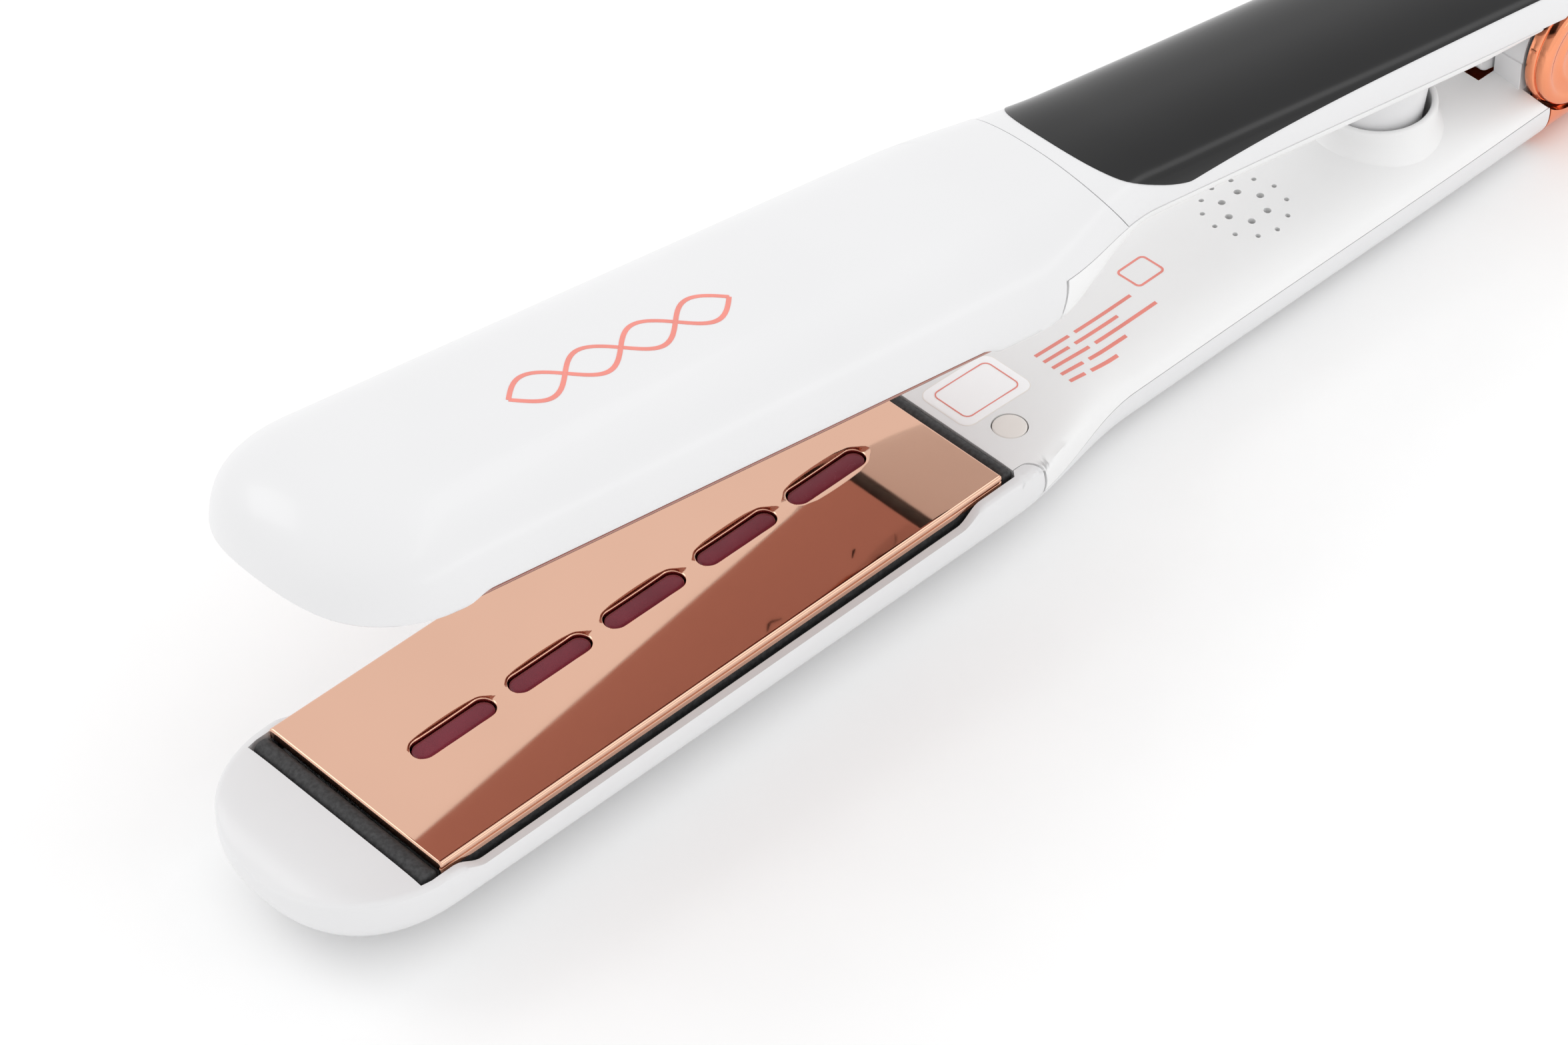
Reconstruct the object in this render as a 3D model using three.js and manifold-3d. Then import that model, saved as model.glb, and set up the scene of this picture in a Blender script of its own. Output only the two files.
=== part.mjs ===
// Flat iron (hair straightener) with floating plates, as an open assembly of its real pieces.
// Millimetres. X runs from the tip (-X) to the hinge and the cord outlet (+X), Z is up.
// The lower arm lies on its back. Both arms are written once, in an arm frame: x = 0 at the front
// edge of the plate, y across, and z outward from the plate face to the back of the arm.
// The lower arm turns that frame half a turn about X, and the upper arm opens about the hinge pin.

import * as THREE from 'three';
import { mergeVertices } from 'three/addons/utils/BufferGeometryUtils.js';
import Module from 'manifold-3d';

const wasm = await Module();
wasm.setup();

// ---- driving dimensions ----
const PLATE_LENGTH = 115;
const PLATE_WIDTH = 38.1;
const TIP_X = -18.7;            // front end of both arms
const NOSE_START_X = 3;         // the plan outline starts to close here
const NOSE_CENTRE = 4.5;        // height on which the nose closes
const REAR_START_X = 258;       // the rear end starts to close here
const REAR_LENGTH = 24;
const BARREL_HALF = 21.3;       // half width along the plate
const HANDLE_HALF = 14.4;       // half width just behind the waist
const REAR_FLARE = 0.4;         // the handle widens by this much towards the hinge
const WAIST_START_X = 117.3;
const WAIST_END_X = 150;
const BARREL_BACK = 17.6;       // plate face to back, at the rear of the plate
const BARREL_TAPER = 1.8;       // the back is lower by this much at the tip
const HANDLE_BACK = 18.6;
const BARREL_WIDEST = 3.4;      // height of the widest line
const HANDLE_WIDEST = 9.3;
const RAIL_HEIGHT = 2.6;        // rails beside the plate stand back from the plate face
const NOSE_HEIGHT = 1.2;        // nose and corner tabs stand higher than the rails
const COVER_HEIGHT = 2.75;      // inner face of the handle
const WALL = 2;
const UPPER_WALL = 2.4;
const GAP = 0.3;                // clearance between pieces that only rest on each other
const FLAT_BACK = 18.3;         // the lower arm is flattened here to stand still

const HINGE_X = 259.6;
const OPEN_ANGLE = THREE.MathUtils.degToRad(10.4);
const PIN_R = 2.5;
const CHEEK_R = 10.4;
const CHEEK_INNER_Y = 4.4;
const CHEEK_OUTER_Y = 10.1;
const CAP_R = 11.1;
const CAP_INNER_Y = 11.1;
const CAP_OUTER_Y = 15.1;
const KNUCKLE_R = 9.8;
const KNUCKLE_CLEAR_R = 12.6;     // room for the knuckle and its front lobe as they turn
const LOBE_R = 3;               // front lobe of the knuckle
const LOBE_X = HINGE_X - 8.4;
const LOBE_Z = -3.4;
const KNUCKLE_HALF = 3.9;
const HINGE_CLEAR_R = 11.5;       // room in both arms for the caps
const CAP_ROOM_Y = CAP_INNER_Y - 0.8;
const BUSH_R = 3.8;
const BUSH_HALF = 3.7;

const SPLIT_HEIGHT = 8.4;       // side parting line of shell and inner cover
const SHELL_REAR_X = 252;       // the lower arm's end cap starts here
const COVER_FRONT_X = 117.9;
const NOTCH_X = 123.1;          // the rails end here and the cover takes the whole width
const ARM_END_X = 274;

const POST_X = 223.5;           // spring post and well
const POST_R = 8.2;
const WELL_X = POST_X - 0.4;    // the post swings back a little as it enters
const WELL_R = 9.5;
const WELL_OUTER_R = 10.8;
const WELL_RIM = -2.2;
const WELL_FLOOR = 12.4;
const POST_END = -7.6;

const PLATE_SKIN = 1.2;
const PLATE_SIDE = 3.1;
const SLOT_COUNT = 5;
const SLOT_PITCH = 19.1;
const SLOT_FIRST_X = 19.3;
const SLOT_LENGTH = 15.7;
const SLOT_WIDTH = 4.0;

const BUTTON_R = 3.5;
const SWIVEL_HEIGHT = 10.4;     // centre of the cord outlet, in the arm frame
const CORD_HOLE_R = 3.4;
const SWIVEL_END_X = 286;

// ---- materials ----
const finish = (color, roughness, metalness = 0) =>
  new THREE.MeshStandardMaterial({ color, roughness, metalness });

const WHITE = finish(0xf1f0ef, 0.35);
const WARM_GREY = finish(0xd6d1cb, 0.5);
const ROSE_GOLD = finish(0xf0a080, 0.2, 0.9);
const COPPER_PLATE = finish(0xd9a58c, 0.12, 0.8);
const DARK_RED = finish(0x75363f, 0.2);
const BLACK_GLOSS = finish(0x303030, 0.12);
const BLACK_RUBBER = finish(0x2b2b2b, 0.7);
const STEEL = finish(0xb8b8b8, 0.3, 0.9);
const CERAMIC = finish(0xe6e0d2, 0.6);
const HEAT_PLASTIC = finish(0x3c3a38, 0.6);
const SILICONE = finish(0xc8c4bd, 0.7);
const BOARD_GREEN = finish(0x1f5a37, 0.5);
const PAPER = finish(0xf6f3f1, 0.5);
const WIRE = finish(0xe9e4da, 0.6);
const BRONZE = finish(0xb98a4e, 0.35, 0.8);

// ---- solids ----
function toSolid(geometry) {
  geometry.deleteAttribute('normal');
  geometry.deleteAttribute('uv');
  const merged = mergeVertices(geometry, 1e-4);
  return new wasm.Manifold(new wasm.Mesh({
    numProp: 3,
    vertProperties: new Float32Array(merged.attributes.position.array),
    triVerts: new Uint32Array(merged.index.array),
  }));
}

function toGeometry(solid) {
  const mesh = solid.getMesh();
  const geometry = new THREE.BufferGeometry();
  geometry.setAttribute('position', new THREE.BufferAttribute(mesh.vertProperties, 3));
  geometry.setIndex(new THREE.BufferAttribute(mesh.triVerts, 1));
  return geometry;
}

function box([x0, x1], [y0, y1], [z0, z1]) {
  const geometry = new THREE.BoxGeometry(x1 - x0, y1 - y0, z1 - z0);
  geometry.translate((x0 + x1) / 2, (y0 + y1) / 2, (z0 + z1) / 2);
  return toSolid(geometry);
}

// A lathed solid: profile of [radius, distance along the axis], starting and ending on the axis.
function turned(profile, axis, [x, y, z] = [0, 0, 0], sides = 24) {
  const points = profile.map(([radius, along]) => new THREE.Vector2(radius, along));
  const geometry = new THREE.LatheGeometry(points, sides);
  if (axis === 'x') geometry.rotateZ(-Math.PI / 2);
  if (axis === 'z') geometry.rotateX(Math.PI / 2);
  geometry.translate(x, y, z);
  return toSolid(geometry);
}

function rod(radius, [from, to], axis, centre, sides = 24) {
  return turned([[0, from], [radius, from], [radius, to], [0, to]], axis, centre, sides);
}

function tube(points, radius, steps, sides) {
  const section = new THREE.Shape();
  for (let i = 0; i < sides; i += 1) {
    const turn = 2 * Math.PI * i / sides;
    const [u, v] = [radius * Math.cos(turn), radius * Math.sin(turn)];
    if (i === 0) section.moveTo(u, v);
    else section.lineTo(u, v);
  }
  const path = new THREE.CatmullRomCurve3(points.map((p) => new THREE.Vector3(...p)));
  return toSolid(new THREE.ExtrudeGeometry(section, { steps, extrudePath: path, curveSegments: 1 }));
}

function joined(...solids) {
  return solids.reduce((whole, piece) => whole.add(piece));
}

function cut(solid, ...tools) {
  return tools.reduce((whole, tool) => whole.subtract(tool), solid);
}

function onto(group, name, solid, material) {
  const mesh = new THREE.Mesh(toGeometry(solid), material);
  mesh.name = name;
  group.add(mesh);
}

// ---- the outer form of an arm ----
const { clamp, lerp, smoothstep } = THREE.MathUtils;
const waist = (x) => smoothstep(x, WAIST_START_X, WAIST_END_X);
const noseTurn = (x) => clamp((NOSE_START_X - x) / (NOSE_START_X - TIP_X), 0, 1);
const rearTurn = (x) => clamp((x - REAR_START_X) / REAR_LENGTH, 0, 1);
const rounded = (turn, power, root) => (1 - turn ** power) ** (1 / root);

function halfWidth(x) {
  const body = lerp(BARREL_HALF, HANDLE_HALF, waist(x)) + REAR_FLARE * smoothstep(x, 170, 230);
  return body * rounded(noseTurn(x), 2.3, 2.3) * rounded(rearTurn(x), 3, 2.4);
}

function backHeight(x) {
  const barrel = BARREL_BACK - BARREL_TAPER * clamp((110 - x) / 110, 0, 1);
  const body = lerp(barrel, HANDLE_BACK, waist(x));
  const nose = NOSE_CENTRE + (body - NOSE_CENTRE) * rounded(noseTurn(x), 2.6, 2.2);
  return HANDLE_WIDEST + (nose - HANDLE_WIDEST) * rounded(rearTurn(x), 3, 2.4);
}

function widestHeight(x) {
  return lerp(lerp(BARREL_WIDEST, HANDLE_WIDEST, waist(x)), NOSE_CENTRE, noseTurn(x) ** 3);
}

function innerHeight(x) {
  const dip = smoothstep(x, 2, 7) * (1 - smoothstep(x, 107, 111));
  const front = lerp(NOSE_HEIGHT, RAIL_HEIGHT, dip);
  const body = lerp(front, COVER_HEIGHT, smoothstep(x, 118, 158));
  const nose = lerp(body, NOSE_CENTRE - 1, noseTurn(x) ** 8);
  return HANDLE_WIDEST + (nose - HANDLE_WIDEST) * rounded(rearTurn(x), 3, 2.4);
}

const OUTER_STEPS = 6;
const INNER_STEPS = 4;
const NOSE_STEPS = 7;

function armRing(x, inset, flat) {
  const half = halfWidth(x) - inset;
  const back = backHeight(x) - inset;
  const widest = widestHeight(x);
  const inner = innerHeight(x) + inset;
  const backPower = 2 / lerp(2.3, 2.4, waist(x));
  const innerPower = 2 / lerp(7, 2.3, waist(x));
  const quarter = (steps, i, power, height) => {
    const turn = (Math.PI / 2) * (i / steps);
    const y = half * Math.cos(turn) ** power;
    const z = widest + (height - widest) * Math.sin(turn) ** power;
    return [y, Math.min(z, flat - inset)];
  };
  const side = [];
  for (let i = INNER_STEPS; i > 0; i -= 1) side.push(quarter(INNER_STEPS, i, innerPower, inner));
  for (let i = 0; i <= OUTER_STEPS; i += 1) side.push(quarter(OUTER_STEPS, i, backPower, back));
  side[0][0] = 0;
  side[side.length - 1][0] = 0;
  const mirrored = side.slice(1, -1).reverse().map(([y, z]) => [-y, z]);
  return [...side, ...mirrored].map(([y, z]) => [x, y, z]);
}

function loft(rings) {
  const count = rings[0].length;
  const position = rings.flat(2);
  const index = [];
  for (let r = 0; r + 1 < rings.length; r += 1) {
    for (let i = 0; i < count; i += 1) {
      const a = r * count + i;
      const b = r * count + ((i + 1) % count);
      index.push(a, b, a + count, b, b + count, a + count);
    }
  }
  const last = (rings.length - 1) * count;
  for (let i = 1; i + 1 < count; i += 1) {
    index.push(0, i + 1, i);
    index.push(last, last + i, last + i + 1);
  }
  const geometry = new THREE.BufferGeometry();
  geometry.setAttribute('position', new THREE.Float32BufferAttribute(position, 3));
  geometry.setIndex(index);
  return toSolid(geometry);
}

function armStations(inset, endX) {
  const nose = [];
  const start = TIP_X + inset;
  for (let i = 1; i <= NOSE_STEPS; i += 1) {
    const turn = (Math.PI / 2) * (i / NOSE_STEPS);
    nose.push(start + (NOSE_START_X - start) * (1 - Math.cos(turn)));
  }
  const body = [7, 57, 107, 111, 117.3, 123, 128, 133, 138, 143, 150];
  const handle = [158, 178, 204, 230, 252, 259, 265, 270];
  return [...nose, ...body, ...handle.filter((x) => x < endX - 0.5), endX];
}

function armForm(inset = 0, endX = ARM_END_X, flat = 99) {
  return loft(armStations(inset, endX).map((x) => armRing(x, inset, flat)));
}

// ---- pieces common to both arms ----
const wide = [-40, 40];
const tall = [-20, 30];

function plateBay() {
  return joined(
    box([-3.9, 117.7], [-19.95, 19.95], [-5, 6]),
    box([117.5, NOTCH_X + 0.2], [-18.6, 18.6], [-5, 6]),
  );
}

function hingeClearance(fromY, radius) {
  const near = rod(radius, [fromY, 30], 'y', [HINGE_X, 0, 0]);
  const far = rod(radius, [-30, -fromY], 'y', [HINGE_X, 0, 0]);
  return joined(near, far);
}

const DISC_X = 124.9;
const DISC_R = 2.8;

function screwPillar(y) {
  const pillar = rod(3, [5.5, 15], 'z', [DISC_X, y, 0], 12);
  return cut(pillar, rod(1.4, [5, 11], 'z', [DISC_X, y, 0], 12));
}

function armShell(form, hollow, discY) {
  const whole = cut(form, hollow);
  const front = whole.intersect(box([-30, NOTCH_X], wide, tall));
  const rear = whole.intersect(box([NOTCH_X - 0.1, 300], wide, [SPLIT_HEIGHT + GAP, 30]));
  return joined(cut(joined(front, rear), plateBay()), screwPillar(discY));
}

function armCover(form, hollow, discY, endX) {
  const whole = cut(form, hollow);
  const body = whole.intersect(box([NOTCH_X + GAP, endX], wide, [-20, SPLIT_HEIGHT]));
  const tongue = whole.intersect(box([COVER_FRONT_X, NOTCH_X + 0.5], [-18.3, 18.3], [-5, 4]));
  const boss = rod(4.4, [innerHeight(DISC_X) + 0.3, 5.2], 'z', [DISC_X, discY, 0], 16);
  return cut(
    joined(body, tongue, boss),
    rod(DISC_R + 0.2, [-2, 2.3], 'z', [DISC_X, discY, 0]),
    rod(2.6, [2.2, 4], 'z', [DISC_X, discY, 0], 16),
    rod(1.5, [3, 6], 'z', [DISC_X, discY, 0], 12),
  );
}

function coverDisc(discY) {
  return rod(DISC_R, [innerHeight(DISC_X) - 0.1, 2.1], 'z', [DISC_X, discY, 0]);
}

function coverScrew(discY) {
  const screw = turned(
    [[0, 2.6], [2.3, 2.6], [2.3, 3.8], [1.2, 3.8], [1.2, 10.5], [0, 10.5]],
    'z', [DISC_X, discY, 0], 12,
  );
  const driver = box([DISC_X - 1.6, DISC_X + 1.6], [discY - 0.3, discY + 0.3], [2, 3.1]);
  return cut(screw, driver);
}

function gasket(fromX, toX, half) {
  const radius = (toX - fromX) / 2;
  const outline = new THREE.Shape();
  outline.moveTo(toX, 4.6);
  outline.lineTo(fromX, 4.6);
  outline.lineTo(fromX, 0.3 + radius);
  outline.absarc(fromX + radius, 0.3 + radius, radius, Math.PI, 2 * Math.PI, false);
  const geometry = new THREE.ExtrudeGeometry(outline, {
    depth: 2 * half, bevelEnabled: false, curveSegments: 5,
  });
  geometry.rotateX(Math.PI / 2);
  geometry.translate(0, half, 0);
  return toSolid(geometry);
}

// ---- one heated plate, built in the arm frame ----
function stadium(x, length, width, [z0, z1]) {
  const radius = width / 2;
  const reach = length / 2 - radius;
  const outline = new THREE.Shape();
  outline.absarc(x + reach, 0, radius, -Math.PI / 2, Math.PI / 2, false);
  outline.absarc(x - reach, 0, radius, Math.PI / 2, 1.5 * Math.PI, false);
  const geometry = new THREE.ExtrudeGeometry(outline, {
    depth: z1 - z0, bevelEnabled: false, curveSegments: 5,
  });
  geometry.translate(0, 0, z0);
  return toSolid(geometry);
}

function slotXs() {
  return Array.from({ length: SLOT_COUNT }, (_, i) => SLOT_FIRST_X + SLOT_PITCH * i);
}

function heatedPlate() {
  const half = PLATE_WIDTH / 2;
  const edge = 1.2;
  const outline = new THREE.Shape();
  outline.moveTo(-half, PLATE_SIDE);
  outline.lineTo(-half, edge);
  outline.absarc(-half + edge, edge, edge, Math.PI, 1.5 * Math.PI, false);
  outline.absarc(half - edge, edge, edge, 1.5 * Math.PI, 2 * Math.PI, false);
  outline.lineTo(half, PLATE_SIDE);
  outline.lineTo(half - PLATE_SKIN, PLATE_SIDE);
  outline.lineTo(half - PLATE_SKIN, PLATE_SKIN);
  outline.lineTo(-half + PLATE_SKIN, PLATE_SKIN);
  outline.lineTo(-half + PLATE_SKIN, PLATE_SIDE);
  const geometry = new THREE.ExtrudeGeometry(outline, {
    depth: PLATE_LENGTH, bevelEnabled: false, curveSegments: 4,
  });
  geometry.rotateX(Math.PI / 2);
  geometry.rotateZ(Math.PI / 2);
  const slots = slotXs().map((x) => stadium(x, SLOT_LENGTH, SLOT_WIDTH, [-1, 2]));
  return cut(toSolid(geometry), ...slots);
}

function lensStrip() {
  const strip = box([8, 107], [-4, 4], [1.4, 2.7]);
  const pads = slotXs().map((x) => stadium(x, SLOT_LENGTH - 0.6, SLOT_WIDTH - 0.6, [0.45, 2]));
  return joined(strip, ...pads);
}

function heater(side) {
  return box([11, 104], side > 0 ? [6, 16] : [-16, -6], [1.5, 2.9]);
}

function carrier() {
  const tray = box([3, 112], [-17.4, 17.4], [3.4, 5.4]);
  const ribs = [-1, 1].map((side) => {
    const middle = side * 10;
    return box([6, 108], [middle - 1.2, middle + 1.2], [5.3, 7]);
  });
  const spine = box([15, 98], [-3.4, 3.4], [5.3, 7]);
  const windows = [-1, 1].map((side) => {
    const middle = side * 14.5;
    return box([30, 85], [middle - 1.4, middle + 1.4], [3, 6]);
  });
  return cut(joined(tray, ...ribs, spine), ...windows, box([58, 66], [-2.2, 2.2], [4.6, 8]));
}

const CUSHION_XS = [25, 90];

function cushion(x, wall) {
  const back = backHeight(x) - wall - GAP;
  return turned(
    [[0, 7.3], [2.4, 7.3], [3, 8.4], [2.2, (back + 7.3) / 2], [3, back - 1.1], [2.4, back], [0, back]],
    'z', [x, 0, 0], 12,
  );
}

function addPlate(group, arm) {
  onto(group, `${arm}_plate`, heatedPlate(), COPPER_PLATE);
  onto(group, `${arm}_infrared_lens`, lensStrip(), DARK_RED);
  onto(group, `${arm}_heater_left`, heater(1), CERAMIC);
  onto(group, `${arm}_heater_right`, heater(-1), CERAMIC);
  onto(group, `${arm}_plate_carrier`, carrier(), HEAT_PLASTIC);
  onto(group, `${arm}_thermistor`, box([59, 65], [-1.4, 1.4], [5, 7.2]), CERAMIC);
}

function addBarrelFittings(group, arm, discY, wall) {
  onto(group, `${arm}_front_gasket`, gasket(-3.6, -GAP, 18), BLACK_RUBBER);
  onto(group, `${arm}_rear_gasket`, gasket(PLATE_LENGTH + GAP, 117.6, 18.2), BLACK_RUBBER);
  onto(group, `${arm}_cover_disc`, coverDisc(discY), WARM_GREY);
  onto(group, `${arm}_cover_screw`, coverScrew(discY), STEEL);
  CUSHION_XS.forEach((x, i) => {
    onto(group, `${arm}_float_cushion_${i === 0 ? 'front' : 'rear'}`, cushion(x, wall), SILICONE);
  });
}

function heaterLead(y, from) {
  const points = [[from, y, 10.8], [from - 12, y, 10.2], [128, y, 9], [112, y, 8.2], [103, y, 8.2]];
  return tube(points, 0.8, 14, 6);
}

// ---- lower arm: the fixed body ----
const LOWER_DISC_Y = 11;
const LABEL_X = [119.6, 134.8];
const LABEL_Y = [-3.8, 6.9];
const LABEL_FACE = innerHeight(127);

const VENT_X = 191.4;
const VENT_RINGS = [{ count: 6, ringR: 3.8, holeR: 0.62 }, { count: 12, ringR: 7.2, holeR: 0.42 }];

function ventHoles() {
  return VENT_RINGS.flatMap(({ count, ringR, holeR }) => Array.from({ length: count }, (_, i) => {
    const turn = (2 * Math.PI * i) / count;
    const at = [VENT_X + ringR * Math.cos(turn), ringR * Math.sin(turn), 0];
    return rod(holeR, [1.5, 6.5], 'z', at, 6);
  }));
}

function cheek(side) {
  const inner = side > 0 ? CHEEK_INNER_Y : -CHEEK_OUTER_Y;
  const outer = side > 0 ? CHEEK_OUTER_Y : -CHEEK_INNER_Y;
  const disc = rod(CHEEK_R, [inner, outer], 'y', [HINGE_X, 0, 0], 40);
  const block = box([HINGE_X - 10.7, HINGE_X + CHEEK_R], [inner, outer], [0, SPLIT_HEIGHT]);
  const bore = rod(PIN_R + 0.12, [inner - 1, outer + 1], 'y', [HINGE_X, 0, 0]);
  return cut(joined(disc, block), bore);
}

function lowerCover(form, hollow) {
  const cover = armCover(form, hollow, LOWER_DISC_Y, SHELL_REAR_X);
  const well = rod(WELL_OUTER_R, [WELL_RIM, WELL_FLOOR + 1], 'z', [WELL_X, 0, 0], 28);
  const knuckleSlot = rod(KNUCKLE_CLEAR_R, [-CHEEK_INNER_Y, CHEEK_INNER_Y], 'y', [HINGE_X, 0, 0], 32);
  const label = box(
    [LABEL_X[0] - 0.2, LABEL_X[1] + 0.2],
    [LABEL_Y[0] - 0.2, LABEL_Y[1] + 0.2],
    [-3, LABEL_FACE + 0.35],
  );
  const cleared = cut(joined(cover, well), hingeClearance(CAP_ROOM_Y, HINGE_CLEAR_R));
  return cut(
    joined(cleared, cheek(1), cheek(-1)),
    rod(WELL_R, [-5, WELL_FLOOR], 'z', [WELL_X, 0, 0], 28),
    knuckleSlot,
    label,
    ...ventHoles(),
  );
}

function endCap() {
  const form = armForm(0, ARM_END_X, FLAT_BACK);
  const hollow = armForm(WALL, ARM_END_X - WALL, FLAT_BACK);
  const shell = cut(form, hollow).intersect(box([SHELL_REAR_X + GAP, 300], wide, tall));
  const cheekRoom = box([240, HINGE_X + CHEEK_R + 0.4], [-10.5, 10.5], [-20, SPLIT_HEIGHT + GAP]);
  const outlet = joined(
    rod(5, [ARM_END_X - 5, ARM_END_X + 5], 'x', [0, 0, SWIVEL_HEIGHT], 20),
    rod(5.9, [ARM_END_X - 6, ARM_END_X - WALL], 'x', [0, 0, SWIVEL_HEIGHT], 20),
  );
  return cut(
    shell,
    hingeClearance(CAP_ROOM_Y, HINGE_CLEAR_R),
    cheekRoom,
    rod(KNUCKLE_CLEAR_R, [-CHEEK_INNER_Y, CHEEK_INNER_Y], 'y', [HINGE_X, 0, 0], 32),
    outlet,
  );
}

function hingeCap(side) {
  const at = (y) => side * y;
  const profile = [
    [0, at(13.3)], [PIN_R + 0.12, at(13.3)], [PIN_R + 0.12, at(CAP_INNER_Y)],
    [CAP_R, at(CAP_INNER_Y)], [CAP_R, at(12.9)], [CAP_R - 0.4, at(13.2)], [CAP_R - 0.4, at(14.5)],
    [CAP_R - 1.2, at(CAP_OUTER_Y)], [0, at(CAP_OUTER_Y)],
  ];
  return turned(side > 0 ? profile : profile.reverse(), 'y', [HINGE_X, 0, 0], 28);
}

function washer(side) {
  const span = side > 0 ? [10.3, 10.9] : [-10.9, -10.3];
  const bore = rod(PIN_R + 0.3, [side * 11.5, side * 9.5].sort((a, b) => a - b), 'y', [HINGE_X, 0, 0]);
  return cut(rod(10.2, span, 'y', [HINGE_X, 0, 0], 24), bore);
}

function returnSpring() {
  const coils = 4.5;
  const radius = 5.4;
  const wire = 0.6;
  const low = WELL_FLOOR - GAP - wire;
  const high = 2.4 + wire;
  const steps = 45;
  const points = Array.from({ length: steps + 1 }, (_, i) => {
    const turn = 2 * Math.PI * coils * (i / steps);
    return [
      POST_X - 0.9 + radius * Math.cos(turn),
      radius * Math.sin(turn),
      low + (high - low) * (i / steps),
    ];
  });
  return tube(points, wire, steps, 5);
}

function powerLead(y) {
  const points = [[269.5, y, 12], [262, y, 14.6], [240, y, 15.2], [205, y, 15.2], [150, y, 13]];
  return tube(points, 0.7, 16, 6);
}

function addLowerArm(group) {
  const form = armForm(0, ARM_END_X, FLAT_BACK);
  const hollow = armForm(WALL, ARM_END_X, FLAT_BACK);
  const body = armShell(form, hollow, LOWER_DISC_Y).intersect(box([-30, SHELL_REAR_X], wide, tall));
  onto(group, 'lower_outer_shell', body, WHITE);
  onto(group, 'lower_inner_cover', lowerCover(form, hollow), WHITE);
  onto(group, 'lower_end_cap', endCap(), ROSE_GOLD);
  addBarrelFittings(group, 'lower', LOWER_DISC_Y, WALL);
  onto(group, 'blank_label', box(LABEL_X, LABEL_Y, [LABEL_FACE, LABEL_FACE + 0.25]), PAPER);
  onto(group, 'hinge_pin', rod(PIN_R, [-13, 13], 'y', [HINGE_X, 0, 0]), STEEL);
  onto(group, 'hinge_cap_left', hingeCap(1), ROSE_GOLD);
  onto(group, 'hinge_cap_right', hingeCap(-1), ROSE_GOLD);
  onto(group, 'hinge_washer_left', washer(1), BLACK_RUBBER);
  onto(group, 'hinge_washer_right', washer(-1), BLACK_RUBBER);
  onto(group, 'return_spring', returnSpring(), STEEL);
  onto(group, 'lower_heater_lead_left', heaterLead(3, 146), WIRE);
  onto(group, 'lower_heater_lead_right', heaterLead(-3, 146), WIRE);
  onto(group, 'power_lead_live', powerLead(2.2), BLACK_RUBBER);
  onto(group, 'power_lead_neutral', powerLead(-2.2), WIRE);
}

// ---- upper arm ----
const BUTTONS = [['power_button', 163], ['minus_button', 178], ['plus_button', 190]];
const PANEL_HALF = 13.3;
const PANEL_REAR_X = 263;
const PANEL_WALL = 1.2;
const UPPER_COVER_REAR_X = 246;
const BARREL_SPLIT_X = 133.8;

// The barrel ends in a curve that leans back down the sides.
function splitX(z) {
  return BARREL_SPLIT_X + 0.55 * Math.max(HANDLE_BACK - 0.4 - z, 0) ** 1.2;
}

function sideBlock(edgeX, endX, [z0, z1], half) {
  const outline = new THREE.Shape();
  const steps = 10;
  outline.moveTo(endX, z0);
  for (let i = 0; i <= steps; i += 1) {
    const z = z0 + (z1 - z0) * (i / steps);
    outline.lineTo(edgeX(z), z);
  }
  outline.lineTo(endX, z1);
  const geometry = new THREE.ExtrudeGeometry(outline, { depth: 2 * half, bevelEnabled: false });
  geometry.rotateX(Math.PI / 2);
  geometry.translate(0, half, 0);
  return toSolid(geometry);
}

function panelFrontX(z) {
  return 136.9 + 1.54 * Math.max(18.4 - z, 0) ** 1.11;
}

function panelRegion(grow) {
  return sideBlock((z) => panelFrontX(z) - grow, PANEL_REAR_X + grow, [9, 24], PANEL_HALF + grow);
}

function upperCover(form, hollow) {
  const cover = armCover(form, hollow, -LOWER_DISC_Y, UPPER_COVER_REAR_X);
  const span = [-KNUCKLE_HALF, KNUCKLE_HALF];
  const knuckle = rod(KNUCKLE_R, span, 'y', [HINGE_X, 0, 0], 32);
  const lobe = rod(LOBE_R, span, 'y', [LOBE_X, 0, LOBE_Z], 24);
  const arm = box([242, HINGE_X], span, [3.2, SPLIT_HEIGHT]);
  const neck = box([LOBE_X - LOBE_R, HINGE_X - 5.4], span, [LOBE_Z, 5]);
  const post = rod(POST_R, [POST_END, 4.4], 'z', [POST_X, 0, 0], 24);
  const cleared = cut(joined(cover, post), hingeClearance(KNUCKLE_HALF + 0.2, HINGE_CLEAR_R));
  return cut(
    joined(cleared, knuckle, lobe, neck, arm),
    rod(BUSH_R + GAP, [-6, 6], 'y', [HINGE_X, 0, 0]),
    ...BUTTONS.map(([, x]) => rod(BUTTON_R + GAP, [-2, 6.5], 'z', [x, 0, 0], 16)),
  );
}

function button(x) {
  return turned(
    [[0, 2], [BUTTON_R - 0.4, 2], [BUTTON_R, 2.4], [BUTTON_R, 5.7], [4.4, 5.7], [4.4, 6.4], [0, 6.4]],
    'z', [x, 0, 0], 16,
  );
}

function controlBoard() {
  const board = box([150, 214], [-10.2, 10.2], [10.4, 12]);
  const switches = BUTTONS.map(([, x]) => box([x - 3, x + 3], [-3, 3], [7.3, 10.5]));
  return joined(board, ...switches);
}

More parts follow.
